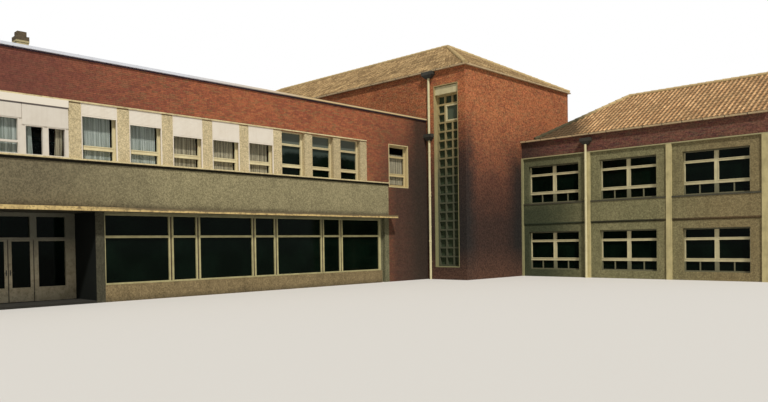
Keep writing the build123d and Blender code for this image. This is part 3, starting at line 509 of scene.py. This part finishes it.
BAY_PANEL = painted("bay_panel", rgb(210, 202, 188), rgb(186, 174, 156), 0.35, 0.4, zones=[
    (rgb(226, 217, 200), 0.9, [(Z, BAY_FASCIA_FOOT - 0.002, BAY_FASCIA_FOOT, 0.0)]),
    # A dark line just under the fascia: painted shadow of the fascia
    (rgb(104, 94, 92), 0.9, [(Z, BAY_FASCIA_FOOT + 0.001, BAY_FASCIA_FOOT - 0.001, 0.0),
                             (Z, BAY_FASCIA_FOOT - 0.050, BAY_FASCIA_FOOT - 0.046, 0.0)]),
])
COPING_METAL = painted("coping_metal", rgb(208, 211, 219), rgb(178, 174, 172), 0.25, 0.55, zones=[
    (rgb(206, 178, 126), 0.95, [(Y, -8.0, -2.0, 2.0), (X, FRONT, FRONT + 0.06, 0.0)]),
    (rgb(60, 58, 62), 0.85, [(Z, PARAPET + 0.070, PARAPET + 0.078, 0.01), (Y, -4.0, 0.0, 2.0)]),
    (rgb(60, 52, 48), 0.85, [(Z, PARAPET + 0.025, PARAPET + 0.015, 0.01), (Y, -8.0, -3.0, 2.0)]),
])
# A dark brown for the glazing's open gaps: painted shade
GAP_SHADE = painted("gap_shade", rgb(64, 50, 36), rgb(36, 30, 24), 0.5, 0.8)
LEAF_METAL = painted("lock_metal", rgb(60, 54, 46), rgb(34, 30, 26), 0.4, 0.4)
CHIMNEY_CONCRETE = concrete("chimney_concrete", rgb(112, 98, 76), rgb(44, 40, 34), 7.0,
                            [(rgb(196, 182, 138), 0.85, [(Z, 9.04, 9.02, 0.02)])])
ROOF_FELT = concrete("roof_felt", rgb(104, 102, 96), rgb(66, 64, 60))
# The second colour of each net is the painted shade in its folds
NET = net_cloth("net_curtain", rgb(194, 204, 196), rgb(126, 136, 126))
WARM_NET = net_cloth("warm_net_curtain", rgb(196, 188, 160), rgb(98, 90, 70))

# Finishes of the block, its stair window and what all wings share
BLOCK_BRICK = brickwork(
    "block_brick", [rgb(152, 84, 58), rgb(174, 100, 62), rgb(184, 114, 72), rgb(154, 108, 72)],
    rgb(148, 106, 76), [
        # Darker towards the bottom of the block's faces
        (rgb(84, 54, 44), 0.85, [(Z, 8.4, 5.0, 1.6), (X, 1.0, 4.0, 0.0)]),
        (rgb(40, 34, 30), 0.8, [(Z, 5.6, 2.8, 1.8), (X, 1.0, 4.0, 0.0)]),
        # Near-black in the corner with the right wing: painted shade in the corner
        (rgb(30, 30, 28), 0.85, [(Y, RIGHT_FRONT - 1.7, RIGHT_FRONT - 0.5, 0.9), (Z, 7.3, 5.8, 1.2),
                                 (X, 4.0, 6.0, 0.0), (Y, RIGHT_FRONT + 1.2, RIGHT_FRONT + 0.6, 0.0)]),
        (rgb(34, 34, 32), 0.8, [(Y, BLOCK_SOUTH + 1.0, BLOCK_SOUTH + 0.2, 0.8), (Z, 8.4, 6.0, 1.4),
                                (X, 4.0, 6.0, 0.0)]),
        (rgb(96, 66, 50), 0.6, [(Z, 1.6, 0.2, 0.8)]),
    ], 0.6, 0.36)
STAIR_PAINT = painted("stair_paint", rgb(204, 192, 148), rgb(150, 134, 96), 0.4)
GRILLE_PAINT = painted("grille_paint", rgb(172, 152, 104), rgb(112, 106, 74), 0.5, 0.8, zones=[
    # The grille's deeper parts near-black towards the bottom: painted shade in the recess
    (rgb(48, 58, 46), 0.9, [(Z, 8.6, 4.8, 1.0), (Y, BLOCK_SOUTH + 0.20, BLOCK_SOUTH + 0.22, 0.0)]),
    (rgb(104, 110, 78), 0.7, [(Z, 9.5, 3.0, 1.0), (Y, BLOCK_SOUTH + 0.22, BLOCK_SOUTH + 0.20, 0.0)]),
])
REAR_PAINT = painted("rear_paint", rgb(206, 196, 160), rgb(140, 124, 92))
PIPE_PAINT = painted("pipe_paint", rgb(210, 200, 156), rgb(146, 132, 98), 0.35, 0.45)
DARK_METAL = painted("dark_metal", rgb(58, 56, 48), rgb(30, 30, 26), 0.5, 0.6)
GUTTER_METAL = painted("gutter_metal", rgb(188, 164, 124), rgb(126, 108, 84), 0.5, 0.5, specks=0.2)
CURTAIN_GLASS = window_glass("curtain_glass", rgb(14, 20, 18), 0.12)
STAIR_GLASS = between(X, STAIR[0].x - 0.10, STAIR[1].x + 0.15, 0.02)
STAIR_GLASS += [(Y, BLOCK_SOUTH + 0.20, BLOCK_SOUTH + 0.22, 0.0)]
CASEMENT_GLASS = STAIR_GLASS + [(X, CASEMENT_WEST - 0.02, CASEMENT_WEST, 0.0)]
CASEMENT_GLASS += between(Z, *CASEMENT_HEIGHTS, 0.02)
UPPER_GLASS = [(X, FRONT - 0.40, FRONT - 0.39, 0.0), (X, FRONT, FRONT - 0.10, 0.0)]
DARK_GLASS = window_glass("dark_glass", rgb(4, 11, 6), 0.96, [
    (rgb(66, 76, 56), 0.8, STAIR_GLASS),
    (rgb(86, 94, 76), 0.8, CASEMENT_GLASS),
    (rgb(104, 110, 100), 0.75, [(Z, UPPER_BAR_TOP - 0.01, UPPER_BAR_TOP + 0.01, 0.0)] + UPPER_GLASS),
    (rgb(58, 68, 62), 0.8, [(Z, UPPER_BAR_TOP - 0.44, UPPER_BAR_TOP - 0.29, 0.5),
                            (Z, UPPER_BAR_TOP - 0.01, UPPER_BAR_TOP - 0.02, 0.0)] + UPPER_GLASS),
])
# Floor slabs: dark concrete, made darker still as painted shade of the porch floor
DARK_CONCRETE = concrete("dark_concrete", rgb(46, 44, 38), rgb(30, 30, 26))

# Finishes of the right wing
RIGHT_BRICK = brickwork(
    "right_brick", [rgb(84, 52, 50), rgb(114, 68, 58), rgb(120, 82, 64), rgb(98, 76, 62)], rgb(102, 80, 68),
    [(rgb(54, 42, 36), 0.8, [(X, BLOCK_EAST + 2.4, BLOCK_EAST + 0.4, 1.2)])])
INFILL_DASH = pebbledash("infill_pebbledash", rgb(122, 118, 84), rgb(142, 136, 100), rgb(90, 86, 60), [
    # A dark line under each spandrel: painted shadow of the spandrel
    (rgb(40, 40, 30), 0.9, between(Z, 2.69, 2.79, uneven=0.02)),
    (rgb(138, 108, 74), 0.35, [(X, 13.5, 17.0, 2.0)]),
    # Darker near the block, most of all low down: painted shade of the corner and of plants
    (rgb(66, 72, 52), 0.65, [(X, BLOCK_EAST + 4.5, BLOCK_EAST + 1.5, 1.0)]),
    (rgb(48, 56, 40), 0.7, [(X, BLOCK_EAST + 4.0, BLOCK_EAST + 1.5, 1.0), (Z, 4.2, 3.4, 0.6)]),
], 0.4)
RIGHT_PILASTER = painted("right_pilaster", rgb(194, 180, 130), rgb(120, 110, 78), 0.5, 0.7, zones=[
    (rgb(112, 116, 80), 0.6, [(X, BLOCK_EAST + 3.0, BLOCK_EAST + 1.0, 0.5)]),
])
WING_SHADOWS = [(rgb(86, 86, 64), 0.85, between(Z, sill, sill + 0.46)) for sill in RIGHT_SILLS]
WING_SHADOWS += [(rgb(70, 70, 52), 0.85, between(Z, sill + 1.90, sill + 1.97)) for sill in RIGHT_SILLS]
WING_PAINT = painted("wing_paint", rgb(198, 188, 148), rgb(138, 128, 96), 0.4, zones=WING_SHADOWS)

# Roof finishes
TILE_CLAY = clay_tiles("block_tiles", rgb(178, 150, 106), rgb(122, 98, 66), rgb(100, 82, 54))
RIGHT_CLAY = clay_tiles("right_tiles", rgb(210, 170, 122), rgb(172, 132, 90), rgb(122, 98, 66),
                        moss_at=(7.8, 10.6, 7.2))
RIDGE_CLAY = concrete("ridge_tiles", rgb(202, 178, 128), rgb(132, 108, 76), 3.0, [
    (rgb(44, 46, 34), 0.9, [(X, BLOCK_EAST + 0.3, BLOCK_EAST + 0.5, 0.0), (X, 10.0, 9.2, 0.8),
                            (Y, 14.6, 14.2, 0.0)]),
])
UNDER_CLAY = concrete("roof_shell", rgb(136, 112, 80), rgb(90, 74, 54), 3.0)


def dress(material, *names):
    """Gives the material to the frame's own nodes."""
    for name in names:
        materials = nodes[name].data.materials
        materials.clear()
        materials.append(material)


dress(LEFT_BRICK, "left_front_brick", "left_end_wall", "left_rear_wall")
dress(BLOCK_BRICK, "block_south_wall", "block_north_wall", "block_end_walls")
dress(RIGHT_BRICK, "right_brick_band", "right_rear_wall", "right_return_wall", "right_gable_wall")
dress(BAND_DASH, "left_render_band")
dress(PLINTH_DASH, "left_plinth")
dress(PORCH_DASH, "porch_walls")
dress(PILASTER_DASH, "left_pilasters")
dress(PIER_DASH, "left_end_pier")
dress(COURSE_PAINT, "string_courses")
dress(CANOPY_PAINT, "canopy_slab")
dress(RIGHT_PILASTER, "right_pilasters")
dress(INFILL_DASH, "right_infill")
dress(GLAZING_PAINT, "left_glazing_frame")
dress(CREAM_PAINT, "left_upper_frames")
dress(WING_PAINT, "right_frames")
dress(STAIR_PAINT, "stair_joinery")
dress(REAR_PAINT, "rear_frames")
dress(PORCH_PAINT, "entrance_frame", "entrance_top_lights")
dress(WHITE_PANEL, "roller_shutters")
dress(BAY_PANEL, "entrance_bay")
dress(PIPE_PAINT, "rain_pipes")
dress(DARK_METAL, "rain_hoppers")
dress(GUTTER_METAL, "eaves_gutters")
dress(COPING_METAL, "left_coping")
dress(DARK_GLASS, "front_glass", "rear_glass")
dress(DARK_CONCRETE, "ground_slabs", "upper_floors")
dress(CHIMNEY_CONCRETE, "chimney")
dress(ROOF_FELT, "flat_roof")
dress(GRILLE_PAINT, "stair_grille")
dress(UNDER_CLAY, "block_roof", "right_roof")
for door in ("far_south", "mid_south", "mid_north", "far_north"):
    dress(PORCH_PAINT, f"door_leaf_{door}")
    dress(DARK_GLASS, f"door_glass_{door}")
    dress(LEAF_METAL, f"door_handle_{door}")


def clear_the_curtained_panes():
    """Gives the clearer glass to the left wing's upper panes that a net hangs behind. These are the small
    window and all the others but the row's last ones, which have no shutter."""
    mesh = nodes["front_glass"].data
    mesh.materials.append(CURTAIN_GLASS)
    centres = np.empty(len(mesh.polygons) * 3)
    mesh.polygons.foreach_get("center", centres)
    x, y, z = centres.reshape(-1, 3).T
    upstairs = (x > FRONT - 0.35) & (x < FRONT) & (z > SILL_TOP - 0.3)
    shuttered = y < WINDOWS[len(SHUTTER_DROPS) - 1] + WINDOW_WIDTH + PILASTER / 2
    small_window = y > SMALL_WINDOW[0]
    mesh.polygons.foreach_set("material_index", (upstairs & (shuttered | small_window)).astype(np.int32))


clear_the_curtained_panes()


# Meshes worked out on grids and along paths
def add_piece(name, points, faces, material, smooth=False, cells=None):
    """Welds points that meet, drops what folds to nothing, and adds the mesh as a piece of the building."""
    points = np.asarray(points, float).reshape(-1, 3)
    whole, first, merged = np.unique(points.round(6), axis=0, return_index=True, return_inverse=True)
    merged = merged.ravel().tolist()
    polygons = []
    for face in faces if isinstance(faces, list) else faces.tolist():
        corners = [merged[corner] for corner in face]
        kept = [corner for number, corner in enumerate(corners) if corner != corners[number - 1]]
        if len(set(kept)) > 2:
            polygons.append(kept)
    mesh = bpy.data.meshes.new(name)
    mesh.from_pydata(whole.tolist(), [], polygons)
    if cells is not None:
        layer = mesh.uv_layers.new(name="tiles")
        corner_points = np.empty(len(mesh.loops), dtype=np.int32)
        mesh.loops.foreach_get("vertex_index", corner_points)
        layer.data.foreach_set("uv", np.asarray(cells, float).reshape(-1, 2)[first][corner_points].ravel())
    if smooth:
        mesh.polygons.foreach_set("use_smooth", np.ones(len(mesh.polygons), bool))
    mesh.materials.append(material)
    piece = bpy.data.objects.new(name, mesh)
    scene.collection.objects.link(piece)
    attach(piece, "building")
    return piece


def grid_faces(rows, columns, around=False):
    """Quads between neighbouring points of a grid kept row by row, wrapped round if it is a tube."""
    across = np.arange(columns if around else columns - 1)
    row = np.arange(rows - 1)[:, None] * columns
    following = (across + 1) % columns
    return np.stack([row + across, row + following, row + columns + following, row + columns + across],
                    axis=-1).reshape(-1, 4)


def extruded(ends, profile, side, up):
    """A closed profile drawn along straight runs, one for each pair of ends, with flat caps.

    Each profile point lies at a run's end plus its first number times side plus its second times up.
    """
    ends = np.asarray(ends, float)
    profile = np.asarray(profile, float)
    section = profile[:, :1] * np.asarray(side, float) + profile[:, 1:] * np.asarray(up, float)
    points = ends[:, :, None, :] + section[None, None, :, :]
    count = len(profile)
    faces = []
    for start in range(0, len(ends) * 2 * count, 2 * count):
        faces += (grid_faces(2, count, around=True) + start).tolist()
        cap = list(range(start, start + count))
        faces += [cap[::-1], [corner + count for corner in cap]]
    return points.reshape(-1, 3), faces


# Pan tiles
TILE_WIDTH, TILE_COURSE = 0.22, 0.33
ROLL_SHARE, ROLL_HEIGHT, PAN_DEPTH = 0.38, 0.036, 0.008
TILE_LIFT, TILE_STEP = 0.009, 0.016
TILE_PHASES = (0.0, 0.095, 0.19, 0.285, 0.38, 0.69)


def tile_profile(phase):
    """Height over a tile's width: half a sine wave up for the roll, then a shallower one down for the pan."""
    roll = ROLL_HEIGHT * np.sin(pi * phase / ROLL_SHARE)
    pan = -PAN_DEPTH * np.sin(pi * (phase - ROLL_SHARE) / (1 - ROLL_SHARE))
    return np.where(phase < ROLL_SHARE, roll, pan)


def tiled_slope(name, foot_start, foot_end, top_start, top_end, material):
    """Pan tiles on a roof slope, as a height over the slope's plane.

    Across the slope the height is the tile profile at the fraction of a tile's width. Up the slope each
    course falls in a straight line from the tile's lip to nothing, so it steps down onto the course below.
    Points past a hip are moved along their course onto it, and the edges run down to the plane.
    """
    corners = [np.array(corner, float) for corner in (foot_start, foot_end, top_start, top_end)]
    along = corners[1] - corners[0]
    length = np.linalg.norm(along)
    along /= length
    climb = corners[2] - corners[0]
    start_shift = climb @ along
    end_shift = (corners[3] - corners[1]) @ along
    climb -= start_shift * along
    height = np.linalg.norm(climb)
    climb /= height
    normal = np.cross(along, climb)
    courses = round(height / TILE_COURSE)
    tiles = int(np.ceil(length / TILE_WIDTH))
    across = (np.arange(tiles)[:, None] + np.array(TILE_PHASES)).ravel() * TILE_WIDTH
    course = np.arange(courses)
    up = np.stack([course, course + 1], 1).ravel() / courses * height
    lip = np.tile([TILE_STEP, 0.0], courses)
    up = np.concatenate([[0.0], up, [height]])[:, None]
    share = up / height
    low, high = start_shift * share, length + end_shift * share
    place = np.clip(np.concatenate([[-1.0], across, [length + 1.0]])[None, :], low, high)
    rise = TILE_LIFT + tile_profile((place / TILE_WIDTH) % 1.0)
    rise += np.concatenate([[0.0], lip, [0.0]])[:, None]
    rise[0], rise[-1], rise[:, 0], rise[:, -1] = 0.0, 0.0, 0.0, 0.0
    points = corners[0] + place[..., None] * along + up[..., None] * climb + rise[..., None] * normal
    row = np.concatenate([[0.0], np.stack([course, course + 0.999], 1).ravel(), [courses]])[:, None]
    cells = np.stack([place / TILE_WIDTH, np.broadcast_to(row, place.shape)], -1)
    return add_piece(name, points, grid_faces(*place.shape), material, cells=cells)


RIDGE_TILE, RIDGE_WIDE, RIDGE_NARROW, RIDGE_LIFT = 0.40, 0.125, 0.105, 0.02


def ridge_tiles(name, start, end):
    """Half-round tiles along a ridge or hip: three quarters of a circle round the line, drawn along it, that
    narrow evenly over each tile and start again at full width, closed underneath and at both ends."""
    start, end = np.array(start, float), np.array(end, float)
    run = end - start
    length = np.linalg.norm(run)
    run /= length
    side = np.cross(run, (0, 0, 1))
    side /= np.linalg.norm(side)
    above = np.cross(side, run)
    count = max(1, round(length / RIDGE_TILE))
    number = np.arange(count)
    along = np.stack([number, number + 1], 1).ravel() / count * length
    radius = np.tile([RIDGE_WIDE, RIDGE_NARROW], count)
    angle = np.radians(np.linspace(-40, 220, 11))
    ring = np.cos(angle)[:, None] * side + np.sin(angle)[:, None] * above
    points = start + above * RIDGE_LIFT + along[:, None, None] * run + radius[:, None, None] * ring
    columns = len(angle)
    faces = grid_faces(len(along), columns, around=True).tolist()
    last = (len(along) - 1) * columns
    faces += [list(range(columns - 1, -1, -1)), list(range(last, last + columns))]
    return add_piece(name, points, faces, RIDGE_CLAY)


def hipped_roof(name, node, west_hip, east_hip, material):
    """Tiles for a roof's slopes, hips and ridge. Its ends slope over the given runs, and where a run is 0
    the end stands upright. Both long slopes are cut in two, straight up, near the middle of the ridge."""
    low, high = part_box(node)
    middle = (low.y + high.y) / 2
    ridge = [(low.x + west_hip, middle, high.z), (high.x - east_hip, middle, high.z)]
    south = [(low.x, low.y, low.z), (high.x, low.y, low.z)]
    north = [(high.x, high.y, low.z), (low.x, high.y, low.z)]
    for side, foot, top in (("south", south, ridge), ("north", north, ridge[::-1])):
        foot, top = np.array(foot), np.array(top)
        along = np.sign(foot[1] - foot[0])
        cut = round((top.mean(0) - foot[0]) @ along / TILE_WIDTH) * TILE_WIDTH
        foot_cut = foot[0] + cut * along
        top_cut = top[0] + (cut - (top[0] - foot[0]) @ along) * along
        tiled_slope(f"{name}_{side}_a", foot[0], foot_cut, top[0], top_cut, material)
        tiled_slope(f"{name}_{side}_b", foot_cut, foot[1], top_cut, top[1], material)
    if east_hip:
        tiled_slope(f"{name}_east", south[1], north[0], ridge[1], ridge[1], material)
        for label, foot in (("south", south[1]), ("north", north[0])):
            ridge_tiles(f"{name}_hip_east_{label}", foot, ridge[1])
    if west_hip:
        tiled_slope(f"{name}_west", north[1], south[0], ridge[0], ridge[0], material)
        for label, foot in (("south", south[0]), ("north", north[1])):
            ridge_tiles(f"{name}_hip_west_{label}", foot, ridge[0])
    ridge_tiles(f"{name}_ridge", *ridge)


# How far the end slopes run in: as far as the long slopes on the block, and less on the right roof
RIGHT_HIP = 3.26
block_roof_low, block_roof_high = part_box("block_roof")
BLOCK_HIP = (block_roof_high.y - block_roof_low.y) / 2
hipped_roof("block_tiles", "block_roof", BLOCK_HIP, BLOCK_HIP, TILE_CLAY)
hipped_roof("right_tiles", "right_roof", RIGHT_HIP, 0.0, RIGHT_CLAY)


# Net curtains
NET_FOLD, NET_SWING = 0.085, 0.012


def curtain(name, y, z, x, fold=NET_FOLD, swing=NET_SWING, flare=0.0, seed=0.0, cloth=NET):
    """Net gathered on a wire: a sine wave across, whose swing comes and goes and grows towards the hem.

    The point at the share s of the width and t of the drop lies at x plus swing times fullness times the
    sine of the fold's phase. The phase drifts slowly with s and a little with t, the fullness rises and falls
    with s and grows with t, and flare moves the hem sideways by t squared.
    """
    width, drop = y[1] - y[0], z[1] - z[0]
    columns = int(width / fold * 10)
    s = np.linspace(0, 1, columns)[None, :]
    t = np.linspace(0, 1, 12)[:, None]
    phase = 2 * pi * s * width / fold + 1.3 * np.sin(5.0 * s + seed) + 0.35 * t * np.sin(9.0 * s + seed)
    fullness = (0.65 + 0.35 * np.sin(11.0 * s + 2.0 * seed)) * (0.55 + 0.45 * t)
    out = x + swing * fullness * np.sin(phase)
    across = y[0] + s * width + flare * t ** 2
    points = np.stack(np.broadcast_arrays(out, across, z[1] - t * drop), -1)
    piece = add_piece(name, points, grid_faces(len(t), columns), cloth, smooth=True)
    return piece


curtain_low, curtain_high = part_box("curtains")
curtain_x = (curtain_low.x + curtain_high.x) / 2
SOUTH_GAP, NORTH_GAP, SMALL_GAP = 0.04, 0.15, 0.14
for number, (window, _) in enumerate(SHUTTERED):
    net = curtain(f"net_curtain_{number}", (window + SOUTH_GAP, window + WINDOW_WIDTH - NORTH_GAP),
                  (curtain_low.z, curtain_high.z), curtain_x, seed=1.7 * number,
                  cloth=WARM_NET if 2 <= number <= 4 else NET)
    if number == 0:
        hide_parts("curtains")
curtain("net_curtain_small", (SMALL_WINDOW[0] + SMALL_GAP, SMALL_WINDOW[1] - SMALL_GAP),
        (SILL_TOP - 0.04, WINDOW_HEAD - 0.42), curtain_x, seed=5.0, cloth=WARM_NET)
BAY_NET_X = FRONT - 0.165
BAY_NET_HALF = 0.72
BAY_NET_HEIGHTS = (SILL_TOP + 0.02, WINDOW_HEAD - 0.001)
BAY_DRAPES = ((0.93, 1.13, 0.05, NET), (1.88, 2.12, -0.06, WARM_NET))
curtain("net_curtain_bay", (ENTRANCE - BAY_NET_HALF, ENTRANCE + BAY_NET_HALF), BAY_NET_HEIGHTS,
        BAY_NET_X, seed=3.0)
for number, (near, far, flare, cloth) in enumerate(BAY_DRAPES):
    for label, side in (("north", 1), ("south", -1)):
        limits = sorted((ENTRANCE + side * near, ENTRANCE + side * far))
        curtain(f"bay_drape_{label}_{number}", limits, BAY_NET_HEIGHTS, BAY_NET_X, 0.06, 0.014, side * flare,
                number, cloth)


# Roller shutters: rounded slats over the lowered part, and a bottom bar
OFF_FACE = 0.0005
SLAT, SLAT_FOOT, SLAT_ROUND = 0.042, 0.002, 0.005
GUIDE, BAR_TALL, BAR_THICK, BAR_GAP = 0.042, 0.044, 0.010, 0.002
SHUTTER_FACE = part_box("roller_shutters")[1].x


def slatted_profile(low, high):
    """The shutter's section: for each slat half a sine wave outwards, closed by a straight back."""
    count = max(1, round((high - low) / SLAT))
    share = np.linspace(0, 1, 5)[:-1]
    height = low + (np.arange(count)[:, None] + share) * (high - low) / count
    out = np.broadcast_to(SLAT_FOOT + SLAT_ROUND * np.sin(pi * share), height.shape)
    front = np.stack([out.ravel(), height.ravel()], 1)
    return np.concatenate([front, [(SLAT_FOOT, high), (OFF_FACE, high), (OFF_FACE, low)]])


def bar_profile(low, high):
    return [(OFF_FACE, low), (BAR_THICK, low), (BAR_THICK, high), (OFF_FACE, high)]


for number, (window, drop) in enumerate(SHUTTERED):
    bar_foot = WINDOW_HEAD - drop + BAR_GAP
    bar_top = bar_foot + BAR_TALL
    runs = [[(SHUTTER_FACE, window + GUIDE, 0), (SHUTTER_FACE, window + WINDOW_WIDTH - GUIDE, 0)]]
    for piece, profile in (("slats", slatted_profile(bar_top + 0.004, WINDOW_HEAD - BAR_GAP)),
                           ("bar", bar_profile(bar_foot, bar_top))):
        points, faces = extruded(runs, profile, (1, 0, 0), (0, 0, 1))
        add_piece(f"shutter_{piece}_{number}", points, faces, WHITE_PANEL)


# The painted lining of the small window
LINING_WIDE, LINING_PROUD, LINING_DEEP = 0.035, 0.012, 0.16


def lined_reveal(name, across, up, depth, material):
    """A rectangular ring in a wall that looks along X. Its sides join the opening's outline and the same one
    drawn in by the lining's width, each at the proud face and at the depth behind the wall."""
    corners = np.array([(across[0], up[0]), (across[1], up[0]), (across[1], up[1]), (across[0], up[1])])
    inward = np.array([(1, 1), (-1, 1), (-1, -1), (1, -1)])
    front, back = FRONT + LINING_PROUD, FRONT - depth
    outlines = [(front, OFF_FACE), (front, LINING_WIDE), (back, LINING_WIDE), (back, OFF_FACE)]
    rings = [np.column_stack([np.full(4, x), corners + inward * drawn_in]) for x, drawn_in in outlines]
    side, corner = np.divmod(np.arange(16), 4)
    near, far, following = side * 4, (side + 1) % 4 * 4, (corner + 1) % 4
    faces = np.stack([near + corner, near + following, far + following, far + corner], -1)
    return add_piece(name, np.concatenate(rings), faces, material)


lined_reveal("small_window_lining", SMALL_WINDOW, SMALL_WINDOW_HEIGHTS, LINING_DEEP, CREAM_PAINT)

# The open gap in the middle of each post of the ground-floor glazing, between wide and narrow lights in turn:
# a thin dark strip, painted shade in the gap
NARROW_LIGHT, LIGHT_POST, FIRST_STILE, LAST_STILE, LIGHT_COUNT = 0.915, 0.185, 0.055, 0.15, 7
GAP_WIDE, GAP_DEEP, GAP_PROUD = 0.052, 0.002, 0.0008
glazing_low, glazing_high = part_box("left_glazing_frame")
narrow_count = LIGHT_COUNT // 2
glazing_run = glazing_high.y - glazing_low.y - FIRST_STILE - LAST_STILE - (LIGHT_COUNT - 1) * LIGHT_POST
wide_light = (glazing_run - narrow_count * NARROW_LIGHT) / (LIGHT_COUNT - narrow_count)
light_widths = np.array([NARROW_LIGHT if k % 2 else wide_light for k in range(LIGHT_COUNT)])
post_middles = glazing_low.y + FIRST_STILE + np.cumsum(light_widths + LIGHT_POST)[:-1] - LIGHT_POST / 2
gap_face = glazing_high.x - 0.020
gap_runs = [[(gap_face, middle, glazing_high.z - 0.12), (gap_face, middle, glazing_low.z + 0.05)]
            for middle in post_middles]
gap_section = [(-GAP_WIDE / 2, -GAP_DEEP), (GAP_WIDE / 2, -GAP_DEEP), (GAP_WIDE / 2, GAP_PROUD),
               (-GAP_WIDE / 2, GAP_PROUD)]
add_piece("glazing_gaps", *extruded(gap_runs, gap_section, (0, 1, 0), (1, 0, 0)), GAP_SHADE)


# Small metal pieces
PIPE_RADIUS, PIPE_STAND_OFF, PILASTER_REACH = 0.06, 0.02, 0.07
COLLAR_RADIUS, COLLAR_SWELL, COLLAR_HEIGHTS = 0.0605, 0.010, (-0.05, -0.045, 0.045, 0.05)


def collar_rings(name, x, wall, heights):
    """A collar round a pipe at each height: a circle whose radius grows by the swell between the collar's
    edges and falls back to the pipe at both."""
    angle = np.linspace(0, 2 * pi, 20, endpoint=False)
    radius = (COLLAR_RADIUS + COLLAR_SWELL * np.array([0.0, 1.0, 1.0, 0.0]))[:, None]
    rise = np.array(COLLAR_HEIGHTS)[:, None]
    outline = np.stack(np.broadcast_arrays(radius * np.cos(angle), radius * np.sin(angle), rise), -1)
    centre = np.array([x, wall - PIPE_RADIUS - PIPE_STAND_OFF, 0.0])
    points = outline + centre + np.array(heights)[:, None, None, None] * (0, 0, 1)
    faces = grid_faces(4, len(angle), around=True)
    starts = np.arange(len(heights))[:, None, None] * 4 * len(angle)
    return add_piece(name, points, (faces + starts).reshape(-1, 4), PIPE_PAINT)


pipes_low, pipes_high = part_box("rain_pipes")
collar_rings("left_pipe_collars", pipes_low.x + PIPE_RADIUS, BLOCK_SOUTH, (1.9, 4.2, 6.4, 8.6))
collar_rings("right_pipe_collars", pipes_high.x - PIPE_RADIUS, RIGHT_FRONT - PILASTER_REACH, (1.8, 3.9, 5.8))

# Straps round the gutters: each follows the gutter's foot and front and hooks over its lip
GUTTER_REACH, GUTTER_TALL = 0.13, 0.07
STRAP_THICK, STRAP_LIP, STRAP_WIDE, STRAP_PITCH = 0.004, 0.012, 0.03, 0.9
front, lip, foot = GUTTER_REACH + STRAP_THICK, GUTTER_REACH - STRAP_LIP, -GUTTER_TALL - STRAP_THICK
strap = [(0.0, foot), (front, foot), (front, STRAP_THICK), (lip, STRAP_THICK), (lip, OFF_FACE),
         (GUTTER_REACH + OFF_FACE, OFF_FACE), (GUTTER_REACH + OFF_FACE, -GUTTER_TALL - OFF_FACE),
         (0.0, -GUTTER_TALL - OFF_FACE)]
gutter_low, gutter_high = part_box("eaves_gutters")
right_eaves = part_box("right_brick_band")[1].z
block_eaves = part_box("block_south_wall")[1].z
for label, wall, eaves, start, end in (
        ("block", BLOCK_SOUTH, block_eaves, gutter_low.x + 0.4, BLOCK_EAST),
        ("right", RIGHT_FRONT, right_eaves, BLOCK_EAST + 0.3, gutter_high.x - 0.2)):
    runs = [[(x, wall, eaves), (x + STRAP_WIDE, wall, eaves)] for x in np.arange(start, end, STRAP_PITCH)]
    points, faces = extruded(runs, strap, (0, -1, 0), (0, 0, 1))
    add_piece(f"{label}_gutter_straps", points, faces, DARK_METAL)

# Welted seams across the coping
SEAM_HALF, SEAM_TALL, SEAM_PITCH = 0.004, 0.014, 2.0
seam = [(-SEAM_HALF, OFF_FACE), (-SEAM_HALF, SEAM_TALL), (SEAM_HALF, SEAM_TALL), (SEAM_HALF, OFF_FACE)]
coping_low, coping_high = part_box("left_coping")
seam_places = np.arange(coping_low.y + 1.0, coping_high.y - 0.2, SEAM_PITCH)
for label, near, far in (("front", FRONT - 0.325, coping_high.x), ("rear", coping_low.x, coping_low.x + 0.4)):
    runs = [[(near, y, coping_high.z), (far, y, coping_high.z)] for y in seam_places]
    points, faces = extruded(runs, seam, (0, 1, 0), (0, 0, 1))
    add_piece(f"coping_seams_{label}", points, faces, COPING_METAL)


# Floor
FLOOR_REACH, FLOOR_COLOUR = 150.0, (0.62, 0.6, 0.56, 1)


def add_floor():
    mesh = bpy.data.meshes.new("floor")
    corners = [(-FLOOR_REACH, -FLOOR_REACH, 0), (FLOOR_REACH, -FLOOR_REACH, 0),
               (FLOOR_REACH, FLOOR_REACH, 0), (-FLOOR_REACH, FLOOR_REACH, 0)]
    mesh.from_pydata(corners, [], [(0, 1, 2, 3)])
    floor = bpy.data.objects.new("floor", mesh)
    scene.collection.objects.link(floor)
    mesh.materials.append(Graph("pale_floor").finish(FLOOR_COLOUR, 0.9, 0.1))


add_floor()
